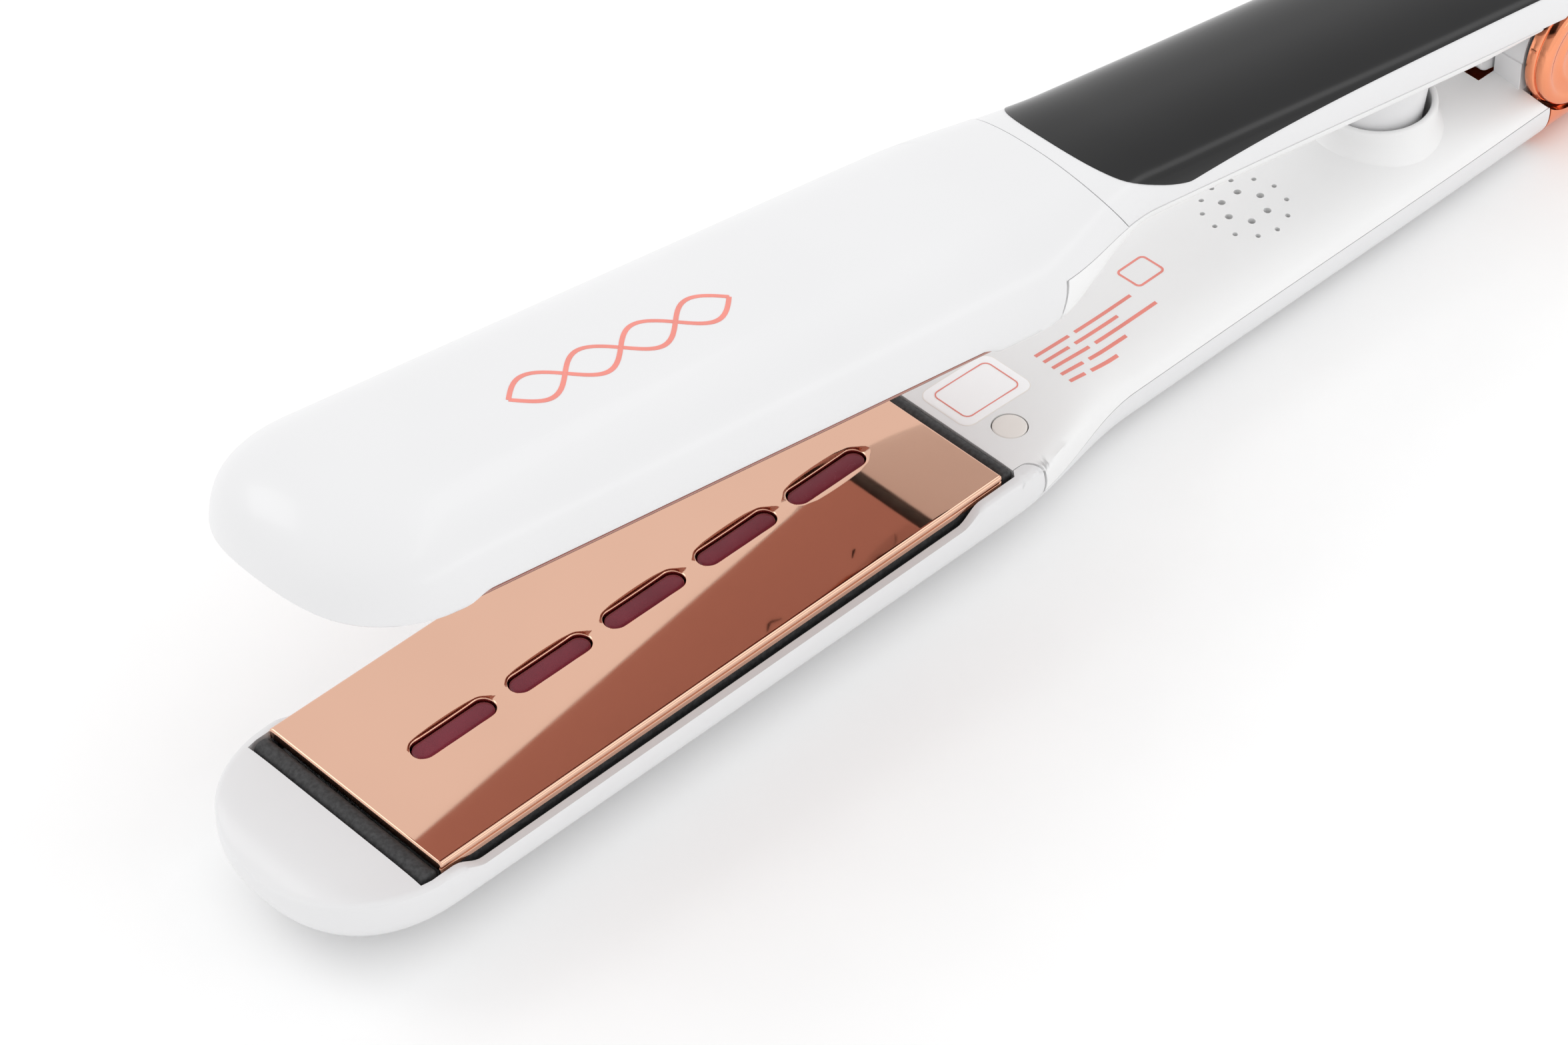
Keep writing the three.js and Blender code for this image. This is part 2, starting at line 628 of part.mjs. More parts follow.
function addUpperArm(group) {
  const form = armForm(0, ARM_END_X - 1);
  const hollow = armForm(UPPER_WALL, ARM_END_X - 4);
  const shell = armShell(form, hollow, -LOWER_DISC_Y);
  const behind = (grow) => sideBlock((z) => splitX(z) + grow, 300, [-20, 30], 40);
  const clear = hingeClearance(KNUCKLE_HALF + 0.2, HINGE_CLEAR_R);
  const panelRoom = cut(panelRegion(0.25), armForm(1.5, ARM_END_X - 1.5));
  const displayWindow = box([149, 187], [-6.5, 6.5], [14, 30]);
  const knuckleRoom = box([238, HINGE_X + 11], [-KNUCKLE_HALF - GAP, KNUCKLE_HALF + GAP], [-10, 10.5]);
  const handle = shell.intersect(behind(0.15));
  onto(group, 'upper_barrel_shell', cut(shell, behind(-0.15)), WHITE);
  onto(group, 'upper_handle_shell', cut(handle, clear, knuckleRoom, panelRoom, displayWindow), WHITE);
  onto(group, 'upper_inner_cover', upperCover(form, hollow), WHITE);
  const panel = cut(form, armForm(PANEL_WALL, ARM_END_X - PANEL_WALL)).intersect(panelRegion(0));
  onto(group, 'display_panel', panel, BLACK_GLOSS);
  onto(group, 'display_module', box([151, 185], [-6, 6], [12.7, 15.1]), BLACK_RUBBER);
  onto(group, 'control_board', controlBoard(), BOARD_GREEN);
  addBarrelFittings(group, 'upper', -LOWER_DISC_Y, UPPER_WALL);
  onto(group, 'upper_heater_lead_left', heaterLead(3, 146), WIRE);
  onto(group, 'upper_heater_lead_right', heaterLead(-3, 146), WIRE);
  const fuse = rod(1.5, [118, 127], 'x', [0, 0, 12], 12);
  onto(group, 'thermal_fuse', fuse, STEEL);
  const bush = cut(
    rod(BUSH_R, [-BUSH_HALF, BUSH_HALF], 'y', [HINGE_X, 0, 0]),
    rod(PIN_R + 0.07, [-5, 5], 'y', [HINGE_X, 0, 0]),
  );
  onto(group, 'knuckle_bush', bush, BRONZE);
  BUTTONS.forEach(([name, x]) => onto(group, name, button(x), WHITE));
}

// ---- cord outlet ----
function cordSwivel() {
  const body = turned([
    [0, 270.5], [5.6, 270.5], [5.6, 271.7], [4.75, 271.7], [4.75, 274.3], [6.4, 274.3],
    [6.4, 276.5], [5.9, 277.5], [4.8, SWIVEL_END_X], [0, SWIVEL_END_X],
  ], 'x', [0, 0, SWIVEL_HEIGHT], 20);
  return cut(body, rod(CORD_HOLE_R, [260, 290], 'x', [0, 0, SWIVEL_HEIGHT], 16));
}

// ---- assembly ----
const lowerArm = new THREE.Group();
lowerArm.rotation.x = Math.PI;
addLowerArm(lowerArm);
addPlate(lowerArm, 'lower');
onto(lowerArm, 'cord_swivel', cordSwivel(), WHITE);

const upperArm = new THREE.Group();
upperArm.position.x = -HINGE_X;
addUpperArm(upperArm);
addPlate(upperArm, 'upper');

const hinge = new THREE.Group();
hinge.position.x = HINGE_X;
hinge.rotation.y = OPEN_ANGLE;
hinge.add(upperArm);

const flatIron = new THREE.Group();
const frontX = armStations(0, ARM_END_X)[0];
flatIron.position.set(-(frontX + SWIVEL_END_X) / 2, 0, FLAT_BACK);
flatIron.add(lowerArm, hinge);

export default flatIron;
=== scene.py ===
"""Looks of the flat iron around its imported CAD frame.

Both arms share one form, written in an arm frame in millimetres: x = 0 at the front edge of the
plate and growing towards the hinge, y across, and w outward from the plate face to the arm's back.
"""

import math

import bmesh
import bpy
import numpy as np
from mathutils import Matrix, Vector


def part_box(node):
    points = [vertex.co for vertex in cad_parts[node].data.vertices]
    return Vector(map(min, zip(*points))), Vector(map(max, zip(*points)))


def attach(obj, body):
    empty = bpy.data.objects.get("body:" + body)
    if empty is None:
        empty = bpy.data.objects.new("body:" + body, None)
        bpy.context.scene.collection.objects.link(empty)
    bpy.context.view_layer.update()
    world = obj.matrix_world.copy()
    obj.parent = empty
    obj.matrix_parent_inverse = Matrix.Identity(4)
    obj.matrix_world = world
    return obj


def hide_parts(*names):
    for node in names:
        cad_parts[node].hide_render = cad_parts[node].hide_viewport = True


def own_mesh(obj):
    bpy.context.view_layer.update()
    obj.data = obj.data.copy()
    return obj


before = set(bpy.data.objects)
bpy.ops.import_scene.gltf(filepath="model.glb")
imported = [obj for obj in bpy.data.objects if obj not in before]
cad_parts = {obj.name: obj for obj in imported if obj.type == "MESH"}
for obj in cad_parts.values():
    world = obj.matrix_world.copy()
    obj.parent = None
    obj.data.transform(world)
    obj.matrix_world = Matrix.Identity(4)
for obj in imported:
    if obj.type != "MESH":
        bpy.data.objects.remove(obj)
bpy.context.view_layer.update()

MM = 0.001
OPEN_ANGLE = math.radians(10.4)

# ---- driving dimensions of the arm form, in millimetres ----
TIP_X = -18.7
NOSE_START_X = 3.0
NOSE_CENTRE = 4.5
REAR_START_X = 258
REAR_LENGTH = 24
BARREL_HALF = 21.3
HANDLE_HALF = 14.4
REAR_FLARE = 0.4
BARREL_BACK = 17.6
BARREL_TAPER = 1.8
HANDLE_BACK = 18.6
BARREL_WIDEST = 3.4
HANDLE_WIDEST = 9.3
RAIL_HEIGHT = 3.2  # the rails beside the plate stand back from its face
NOSE_HEIGHT = 1.1
COVER_HEIGHT = 2.75
HINGE_DIP = 1.7  # the cover sinks towards the hinge, as far as the end cap
FLAT_BACK = 18.3
WALL = 1.8

PLATE_LENGTH = 115.0
PLATE_HALF = 19.05
BAY_FRONT_X = -3.9
COVER_FRONT_X = 117.9
NOTCH_START_X = 119.5
NOTCH_X = 123.1
BARREL_SPLIT_X = 133.8
SPLIT_HEIGHT = 8.4
SHELL_REAR_X = 252.0
LOWER_END_X = 274.0
UPPER_END_X = 273.0
UPPER_COVER_REAR_X = 246.0

HINGE_X = 259.6
PIN_R = 2.5
CHEEK_R = 10.4
CHEEK_Y = (4.4, 10.1)
CAP_R = 11.1
CAP_Y = (11.1, 15.1)
HINGE_CLEAR_R = 11.5
CAP_ROOM_Y = CAP_Y[0] - 0.8
KNUCKLE_R = 9.8
KNUCKLE_HALF = 3.9
KNUCKLE_CLEAR_R = 12.6
LOBE = (HINGE_X - 10.4, -3.4)
LOBE_R = 3.0
LOBE_SLOT_R = 15.2

POST_X = 223.5
POST_R = 8.2
POST_END = -7.6
WELL_X = 223.5
WELL_R = 9.1
WELL_OUTER_R = 10.3
WELL_SKIRT_R = 11.9
WELL_RIM = -2.2
WELL_FLOOR = 12.4

SLOT_XS = [19.3 + 19.1 * i for i in range(5)]
SLOT_LENGTH = 15.7
SLOT_WIDTH = 4.0
BUTTONS = {"power": 163.0, "minus": 178.0, "plus": 190.0}
BUTTON_R = 3.5
VENT_X = 191.4
VENT_RINGS = ((6, 3.8, 0.66), (12, 7.2, 0.45))  # count, ring radius, hole radius
DISC_X = 124.9
DISC_Y = 11.0
DISC_R = 2.78
SWIVEL_W = 10.4

# ---- from the arm frame to the row frame ----
low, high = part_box("hinge_pin")
HINGE = (Vector(low) + Vector(high)) / 2
TO_HINGE = Matrix.Scale(MM, 4) @ Matrix.Translation((-HINGE_X, 0, 0))
ARMS = {
    "lower": Matrix.Translation(HINGE) @ Matrix.Rotation(math.pi, 4, "X") @ TO_HINGE,
    "upper": Matrix.Translation(HINGE) @ Matrix.Rotation(OPEN_ANGLE, 4, "Y") @ TO_HINGE,
}


# ---- the outer form of an arm ----
def clamp(value, least=0.0, most=1.0):
    return max(least, min(most, value))


def lerp(a, b, share):
    return a + (b - a) * share


def smoothstep(x, start, end):
    t = clamp((x - start) / (end - start))
    return t * t * (3 - 2 * t)


def waist(x):
    return smoothstep(x, 117.3, 150)


def nose_turn(x):
    return clamp((NOSE_START_X - x) / (NOSE_START_X - TIP_X))


def rear_turn(x):
    return clamp((x - REAR_START_X) / REAR_LENGTH)


def rounded(turn, power, root):
    return max(1 - turn**power, 0.0) ** (1 / root)


def half_width(x):
    body = lerp(BARREL_HALF, HANDLE_HALF, waist(x)) + REAR_FLARE * smoothstep(x, 170, 230)
    return body * rounded(nose_turn(x), 2.3, 2.3) * rounded(rear_turn(x), 3, 2.4)


def back_height(x):
    barrel = BARREL_BACK - BARREL_TAPER * clamp((110 - x) / 110)
    body = lerp(barrel, HANDLE_BACK, waist(x))
    nose = NOSE_CENTRE + (body - NOSE_CENTRE) * rounded(nose_turn(x), 2.6, 2.2)
    return HANDLE_WIDEST + (nose - HANDLE_WIDEST) * rounded(rear_turn(x), 3, 2.4)


def widest_height(x):
    return lerp(lerp(BARREL_WIDEST, HANDLE_WIDEST, waist(x)), NOSE_CENTRE, nose_turn(x) ** 3)


def inner_height(x):
    dip = smoothstep(x, 2, 7) * (1 - smoothstep(x, 104.5, 109.5))
    front = lerp(NOSE_HEIGHT, RAIL_HEIGHT, dip)
    sunk = HINGE_DIP * smoothstep(x, 230, 247) if x < SHELL_REAR_X else 0
    body = lerp(front, COVER_HEIGHT, smoothstep(x, 118, 158)) + sunk
    nose = lerp(body, NOSE_CENTRE - 1, nose_turn(x) ** 8)
    return HANDLE_WIDEST + (nose - HANDLE_WIDEST) * rounded(rear_turn(x), 3, 2.4)


def inner_power(x):
    return lerp(7, 2.3, waist(x))


def back_power(x):
    return lerp(2.3, 2.4, waist(x))


class Section:
    """Half outline of an arm at x, from the middle of the inner face round to the middle of the back."""

    STEPS = 90

    def __init__(self, x, inset=0.0):
        half = half_width(x) - inset
        widest = widest_height(x)
        turn = np.linspace(0, math.pi / 2, self.STEPS)
        cos, sin = np.cos(turn), np.sin(turn)
        inner = (cos ** inner_power(x) + sin ** inner_power(x)) ** (-1 / inner_power(x))
        back = (cos ** back_power(x) + sin ** back_power(x)) ** (-1 / back_power(x))
        rise = inner_height(x) + inset - widest
        climb = back_height(x) - inset - widest
        self.y = np.concatenate([(half * cos * inner)[::-1], (half * cos * back)[1:]])
        self.w = np.concatenate([(widest + rise * sin * inner)[::-1], (widest + climb * sin * back)[1:]])
        steps = np.hypot(np.diff(self.y), np.diff(self.w))
        self.arc = np.concatenate([[0], np.cumsum(steps)])
        self.length = self.arc[-1]

    def at(self, arc):
        return np.interp(arc, self.arc, self.y), np.interp(arc, self.arc, self.w)

    def arc_at_height(self, w):
        return float(np.interp(w, self.w, self.arc))

    def arc_at_side(self, y):
        n = self.STEPS
        return float(np.interp(y, self.y[:n], self.arc[:n]))


def rail_side(x):
    """Where the opening for the plate ends across the arm."""
    if x > 117.6:
        return 18.5
    middle = smoothstep(x, 2, 7) * (1 - smoothstep(x, 104, 109))
    return min(19.5 + 0.3 * middle, 0.93 * half_width(x))


def rim_arc(section, x, share):
    """The edge between shell and opening: share 0 beside the plate, 1 on the side parting line."""
    beside = section.arc_at_side(rail_side(x))
    return lerp(beside, section.arc_at_height(SPLIT_HEIGHT), share) if share else beside


def surface_height(x, y, side="inner"):
    """Height of the arm's inner face or back over a point of the arm frame."""
    power = inner_power(x) if side == "inner" else back_power(x)
    top = inner_height(x) if side == "inner" else back_height(x)
    share = clamp(abs(y) / half_width(x), 0, 0.999)
    return widest_height(x) + (top - widest_height(x)) * (1 - share**power) ** (1 / power)


# ---- materials ----
def linear(*srgb):
    """Linear colour from 0 to 255 display values."""
    return tuple(((c / 255 + 0.055) / 1.055) ** 2.4 if c > 10 else c / 255 / 12.92 for c in srgb)


def finish(
    name,
    colour,
    roughness,
    metallic=0.0,
    tint=0.03,
    vary=0.04,
    patch=60,
    grain=1800,
    bump=0.02,
    depth=0.00002,
    coat=0.0,
    specular=0.5,
):
    """A procedural finish: slow colour patches, uneven gloss and a fine surface grain."""
    material = bpy.data.materials.new(name)
    material.use_nodes = True
    nodes, links = material.node_tree.nodes, material.node_tree.links
    shader = nodes["Principled BSDF"]
    where = nodes.new("ShaderNodeTexCoord")

    def noise(scale, detail):
        node = nodes.new("ShaderNodeTexNoise")
        node.inputs["Scale"].default_value = scale
        node.inputs["Detail"].default_value = detail
        links.new(where.outputs["Object"], node.inputs["Vector"])
        return node

    patches = noise(patch, 3)
    ramp = nodes.new("ShaderNodeValToRGB")
    ramp.color_ramp.elements[0].position = 0.35
    ramp.color_ramp.elements[1].position = 0.65
    ramp.color_ramp.elements[0].color = (*[c * (1 - tint) for c in colour], 1)
    ramp.color_ramp.elements[1].color = (*[min(c * (1 + tint), 1) for c in colour], 1)
    links.new(patches.outputs["Fac"], ramp.inputs["Fac"])
    links.new(ramp.outputs["Color"], shader.inputs["Base Color"])
    gloss = noise(patch * 5, 5)
    spread = nodes.new("ShaderNodeMapRange")
    spread.inputs["To Min"].default_value = max(roughness - vary, 0.02)
    spread.inputs["To Max"].default_value = roughness + vary
    links.new(gloss.outputs["Fac"], spread.inputs["Value"])
    links.new(spread.outputs["Result"], shader.inputs["Roughness"])
    if bump:
        fine = noise(grain, 4)
        raised = nodes.new("ShaderNodeBump")
        raised.inputs["Strength"].default_value = bump
        raised.inputs["Distance"].default_value = depth
        links.new(fine.outputs["Fac"], raised.inputs["Height"])
        links.new(raised.outputs["Normal"], shader.inputs["Normal"])
    shader.inputs["Metallic"].default_value = metallic
    shader.inputs["Specular IOR Level"].default_value = specular
    shader.inputs["Coat Weight"].default_value = coat
    shader.inputs["Coat Roughness"].default_value = 0.05
    return material


LOOKS = {
    "white_plastic": finish(
        "satin white shell", linear(226, 226, 227), 0.32,
        tint=0.008, patch=25, bump=0.12, grain=2600, coat=0.15
    ),
    "cover_plastic": finish(
        "fine textured white cover", linear(236, 236, 236), 0.4,
        tint=0.01, patch=30, bump=0.22, grain=3200
    ),
    "warm_grey_plastic": finish(
        "warm grey plug", linear(238, 233, 228), 0.5, tint=0.02, bump=0.2, grain=2400
    ),
    "rose_gold_plating": finish(
        "rose gold plating", linear(247, 160, 120), 0.15,
        metallic=1, tint=0.03, vary=0.05, patch=90, bump=0.03
    ),
    "copper_plate": finish(
        "mirror copper plate", linear(223, 179, 156), 0.045,
        metallic=1, tint=0.012, vary=0.02, patch=30, bump=0.0
    ),
    "lens_red": finish(
        "dark red lens", linear(122, 44, 58), 0.26,
        tint=0.08, vary=0.05, patch=180, bump=0.04, specular=0.25
    ),
    # darker, browner copy of the plate finish for the upper plate: painted shade, so that its reflection in the
    # lower plate comes out darker
    "copper_plate_painted_shade": finish(
        "mirror copper plate, browner", linear(182, 137, 127), 0.045,
        metallic=1, tint=0.012, vary=0.02, patch=30, bump=0.0
    ),
    "black_gloss": finish(
        "black gloss panel", linear(18, 18, 19), 0.17, tint=0.1, specular=0.3, vary=0.03, patch=40, bump=0.0
    ),
    "black_rubber": finish(
        "black rubber", linear(50, 50, 51), 0.62,
        tint=0.4, vary=0.12, patch=1500, grain=2600, bump=0.6, depth=0.0001
    ),
    "steel": finish("turned steel", linear(190, 190, 190), 0.28, metallic=1, patch=120, bump=0.05),
    "ceramic": finish("heater ceramic", linear(230, 224, 210), 0.6, tint=0.05, patch=200, bump=0.3),
    "heat_plastic": finish("glass filled plastic", linear(60, 58, 56), 0.6, tint=0.12, patch=300, bump=0.4),
    "silicone": finish("grey silicone", linear(200, 196, 189), 0.7, tint=0.04, patch=150, bump=0.2),
    "board_green": finish("circuit board", linear(31, 90, 55), 0.45, tint=0.2, patch=500, bump=0.1),
    "paper": finish(
        "coated label", linear(254, 254, 255), 0.3,
        tint=0.003, patch=90, bump=0.08, grain=2000, coat=0.3
    ),
    "wire_sleeve": finish("fibreglass sleeve", linear(233, 228, 218), 0.6, tint=0.06, patch=700, bump=0.6),
    "bronze": finish("oiled bronze", linear(185, 138, 74), 0.35, metallic=1, tint=0.08, patch=200, bump=0.1),
    "pink_print": finish("rose print", linear(232, 138, 126), 0.4, tint=0.04, vary=0.08, patch=200, bump=0.05),
    "dark_gap": finish("shadowed rubber ring", linear(70, 68, 68), 0.5, tint=0.15, patch=250, bump=0.3),
}


# ---- mesh helpers ----
def piece(name, points, faces, arm, look, body, replaces=(), sharp=40):
    """A mesh given in the arm frame in millimetres, riding on a body in the row frame."""
    to_row = ARMS[arm]
    mesh = bpy.data.meshes.new(name)
    mesh.from_pydata([to_row @ Vector(p) for p in points], [], faces)
    mesh.validate()
    made = bpy.data.objects.new(name, mesh)
    bpy.context.scene.collection.objects.link(made)
    tidy(made)
    mesh.materials.append(LOOKS[look])
    mesh.shade_smooth()
    mesh.set_sharp_from_angle(angle=math.radians(sharp))
    if body:
        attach(made, body)
        if replaces:
            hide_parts(*replaces)
    return made


def tidy(made):
    """Merges doubled points, drops flat faces and turns every face outward."""
    shape = bmesh.new()
    shape.from_mesh(made.data)
    bmesh.ops.remove_doubles(shape, verts=shape.verts, dist=0.004 * MM)
    bmesh.ops.dissolve_degenerate(shape, edges=shape.edges, dist=0.002 * MM)
    bmesh.ops.recalc_face_normals(shape, faces=shape.faces)
    shape.to_mesh(made.data)
    shape.free()


def face_outward(made, arm):
    """Turns an open skin so that its front looks away from the middle of the arm."""
    to_arm = ARMS[arm].inverted()
    lean = 0.0
    for face in made.data.polygons:
        centre = to_arm @ face.center
        normal = to_arm.to_3x3() @ face.normal
        lean += face.area * normal.dot(centre - Vector((clamp(centre.x, 0, 250), 0, HANDLE_WIDEST)))
    if lean < 0:
        made.data.flip_normals()


def bake(made):
    """Turns the modifiers so far into the mesh itself."""
    graph = bpy.context.evaluated_depsgraph_get()
    mesh = bpy.data.meshes.new_from_object(made.evaluated_get(graph))
    old = made.data
    made.modifiers.clear()
    made.data = mesh
    bpy.data.meshes.remove(old)


def thicken(made, wall, arm):
    """Gives an open skin its wall, inward from the shown face."""
    face_outward(made, arm)
    solid = made.modifiers.new("wall", "SOLIDIFY")
    solid.thickness = wall * MM
    solid.offset = -1
    solid.use_even_offset = False
    solid.use_quality_normals = True
    bake(made)


def carve(made, *cutters):
    for cutter in cutters:
        cut = made.modifiers.new("cut", "BOOLEAN")
        cut.operation = "DIFFERENCE"
        cut.solver = "EXACT"
        cut.object = cutter
    bake(made)
    for cutter in cutters:
        mesh = cutter.data
        bpy.data.objects.remove(cutter)
        bpy.data.meshes.remove(mesh)


def soften(made, width=0.25, segments=2, angle=38):
    """Rounds the hard edges and keeps broad faces flat."""
    bevel = made.modifiers.new("edge", "BEVEL")
    bevel.width = width * MM
    bevel.segments = segments
    bevel.limit_method = "ANGLE"
    bevel.angle_limit = math.radians(angle)
    bevel.use_clamp_overlap = True
    bevel.harden_normals = False
    made.data.shade_smooth()
    made.data.set_sharp_from_angle(angle=math.radians(60))
    weighted = made.modifiers.new("normals", "WEIGHTED_NORMAL")
    weighted.keep_sharp = True


def cutter_from(points, faces, arm):
    mesh = bpy.data.meshes.new("cutter")
    mesh.from_pydata([ARMS[arm] @ Vector(p) for p in points], [], faces)
    made = bpy.data.objects.new("cutter", mesh)
    bpy.context.scene.collection.objects.link(made)
    tidy(made)
    return made


def rings(rows, wrap=True, caps=(False, False)):
    """Points and faces of a loft through rows of equally many points."""
    count = len(rows[0])
    points = [tuple(p) for row in rows for p in row]
    faces = []
    for r in range(len(rows) - 1):
        for c in range(count if wrap else count - 1):
            a, b = r * count + c, r * count + (c + 1) % count
            faces.append((a, b, b + count, a + count))
    if caps[0]:
        faces.append(tuple(range(count - 1, -1, -1)))
    if caps[1]:
        start = (len(rows) - 1) * count
        faces.append(tuple(range(start, start + count)))
    return points, faces


def turned(profile, axis, centre, sides=64):
    """A lathed shape: profile of (radius, distance along the axis)."""
    rows = []
    for radius, along in profile:
        radius = max(radius, 0.001)
        row = []
        for i in range(sides):
            turn = 2 * math.pi * i / sides
            u, v = radius * math.cos(turn), radius * math.sin(turn)
            offset = {"x": (along, u, v), "y": (u, along, v), "z": (u, v, along)}[axis]
            row.append(tuple(c + o for c, o in zip(centre, offset)))
        rows.append(row)
    return rings(rows)


def rod(radius, span, axis, centre, sides=64):
    return turned([(0, span[0]), (radius, span[0]), (radius, span[1]), (0, span[1])], axis, centre, sides)


def block(xs, ys, zs):
    points = [(x, y, z) for x in xs for y in ys for z in zs]
    faces = [(0, 1, 3, 2), (4, 6, 7, 5), (0, 4, 5, 1), (2, 3, 7, 6), (0, 2, 6, 4), (1, 5, 7, 3)]
    return points, faces


def merged(*shapes):
    points, faces = [], []
    for some, around in shapes:
        start = len(points)
        points += some
        faces += [tuple(i + start for i in face) for face in around]
    return points, faces


def prism(outline, ys):
    """An outline of (x, w) pushed through from one y to another."""
    return rings([[(x, y, w) for x, w in outline] for y in ys], caps=(True, True))


def arc(centre, radius, start, end, steps):
    """Points on an arc in degrees, with w growing towards the back of the arm."""
    turns = np.radians(np.linspace(start, end, steps))
    return [(centre[0] + radius * math.cos(t), centre[1] + radius * math.sin(t)) for t in turns]


# ---- shells ----
INNER_COLUMNS = 12
BACK_COLUMNS = 30


def barrel_stations():
    """(x, rim share) from the tip to the notch."""
    nose = [TIP_X + (NOSE_START_X - TIP_X) * (1 - math.cos(math.radians(a))) for a in np.linspace(1, 90, 34)]
    nose = [x for x in nose if abs(x - BAY_FRONT_X) > 0.5] + [BAY_FRONT_X]
    body = list(np.linspace(3.7, 10, 10)) + list(np.linspace(13, 100, 30)) + list(np.linspace(102, 112, 15))
    rail = [114, 116, 117.2, 118.0, 118.8, NOTCH_START_X]
    return [(x, 0.0) for x in sorted(nose + body + rail)]


def notch_stations():
    """The rail's rear end: a quarter ellipse from the rail to the side parting line."""
    turns = np.radians(np.linspace(8, 90, 14))
    reach = NOTCH_X - NOTCH_START_X
    return [(NOTCH_START_X + reach * math.sin(t), 1 - math.cos(t)) for t in turns]


def back_columns(section, rim):
    shares = np.linspace(0, 1, BACK_COLUMNS + 1) ** 1.35
    return rim + (section.length - rim) * shares


def ring_row(x, share, flat):
    """A whole ring, its columns split at the rim: inner face first, then round the back."""
    section = Section(x)
    rim = rim_arc(section, x, share)
    arcs = np.concatenate([np.linspace(0, rim, INNER_COLUMNS + 1)[:-1], back_columns(section, rim)])
    y, w = section.at(arcs)
    w = np.minimum(w, flat)
    right = [(x, a, b) for a, b in zip(y, w)]
    left = [(x, -a, b) for a, b in zip(y[1:-1], w[1:-1])][::-1]
    return right + left


def opened(rows, xs, from_x, to_x):
    """Faces of the rings without the inner face between two stations."""
    points, faces = rings(rows, caps=(True, False))
    count = len(rows[0])
    kept = []
    for face in faces:
        columns = [i % count for i in face]
        row = min(i // count for i in face)
        inner = all(c <= INNER_COLUMNS or c >= count - INNER_COLUMNS or c == 0 for c in columns)
        inside = inner and from_x - 0.01 <= xs[row] and (len(face) == 4 and xs[row] < to_x - 0.01)
        if not inside:
            kept.append(face)
    return points, kept


def lower_shell():
    stations = barrel_stations() + notch_stations()
    stations += [(x, 1.0) for x in np.linspace(NOTCH_X + 0.6, SHELL_REAR_X - 0.1, 60)]
    rows = [ring_row(x, share, FLAT_BACK) for x, share in stations]
    points, faces = opened(rows, [x for x, _ in stations], BAY_FRONT_X, 400)
    shell = piece("lower_casing", points, faces, "lower", "white_plastic", "lower_arm", ["lower_outer_shell"])
    thicken(shell, WALL, "lower")
    soften(shell, 0.22)


def warped_rows(start_x, edge, shares, inset=0.0):
    """Rows of the back that lean from a plain section at start_x to an edge curve x = edge(w)."""
    rows = []
    for share in shares:
        row = []
        for column in range(BACK_COLUMNS + 1):
            w = 14.0
            for _ in range(5):
                x = lerp(start_x, edge(w), share)
                section = Section(x, inset)
                arc_here = back_columns(section, section.arc_at_height(SPLIT_HEIGHT))[column]
                y, w = (float(v) for v in section.at(arc_here))
            row.append((x, y, w))
        rows.append(row)
    return rows


def both_sides(half_row):
    """From the right edge over the middle of the back to the left edge."""
    return half_row + [(x, -y, w) for x, y, w in half_row[-2::-1]]


def split_x(w):
    """The barrel ends in a curve that leans back down the sides."""
    return BARREL_SPLIT_X + 0.55 * max(HANDLE_BACK - 0.4 - w, 0) ** 1.2


def upper_barrel():
    stations = barrel_stations() + notch_stations()
    rows = [ring_row(x, share, 99) for x, share in stations]
    points, faces = opened(rows, [x for x, _ in stations], BAY_FRONT_X, 400)
    # behind the notch only the back goes on, and its last rows lean into the barrel's end curve
    shares = list(np.linspace(0, 1, 14)[1:])
    lean = warped_rows(NOTCH_X, lambda w: split_x(w) - 0.12, shares)
    last = len(rows) - 1
    count = len(rows[0])
    first_back = last * count + INNER_COLUMNS
    back_ids = list(range(first_back, first_back + 2 * BACK_COLUMNS + 1))
    for half_row in lean:
        row = both_sides(half_row)
        start = len(points)
        points += row
        ids = list(range(start, start + len(row)))
        for c in range(len(row) - 1):
            faces.append((back_ids[c], back_ids[c + 1], ids[c + 1], ids[c]))
        back_ids = ids
    shell = piece("upper_barrel", points, faces, "upper", "white_plastic", "upper_arm", ["upper_barrel_shell"])
    thicken(shell, WALL, "upper")
    soften(shell, 0.2)


def rear_rows(end_x, make_row, centre_w, radius=1.6):
    """Rounds a section over the end of the arm and closes it with a flat wall."""
    rows = []
    for turn in np.radians(np.linspace(15, 90, 6)):
        x = end_x - radius + radius * math.sin(turn)
        shrink = radius * (1 - math.cos(turn))
        base = make_row(x)
        reach = max(abs(p[1]) for p in base)
        rows.append([(x, p[1] * (1 - shrink / reach), lerp(centre_w, p[2], 1 - shrink / 9)) for p in base])
    edge = rows[-1]
    for share in (0.8, 0.55, 0.3, 0.02):
        rows.append([(end_x, p[1] * share, lerp(centre_w, p[2], share)) for p in edge])
    return rows


PANEL_PROUD = 0.12


def handle_half_row(x):
    section = Section(x, PANEL_PROUD)
    arcs = back_columns(section, section.arc_at_height(SPLIT_HEIGHT))
    y, w = section.at(arcs)
    return [(x, float(a), float(b)) for a, b in zip(y, w)]


def hinge_room(arm, from_y):
    """Cutter for the space of both hinge caps."""
    near = rod(HINGE_CLEAR_R, (from_y, 30), "y", (HINGE_X, 0, 0))
    far = rod(HINGE_CLEAR_R, (-30, -from_y), "y", (HINGE_X, 0, 0))
    return cutter_from(*merged(near, far), arm)


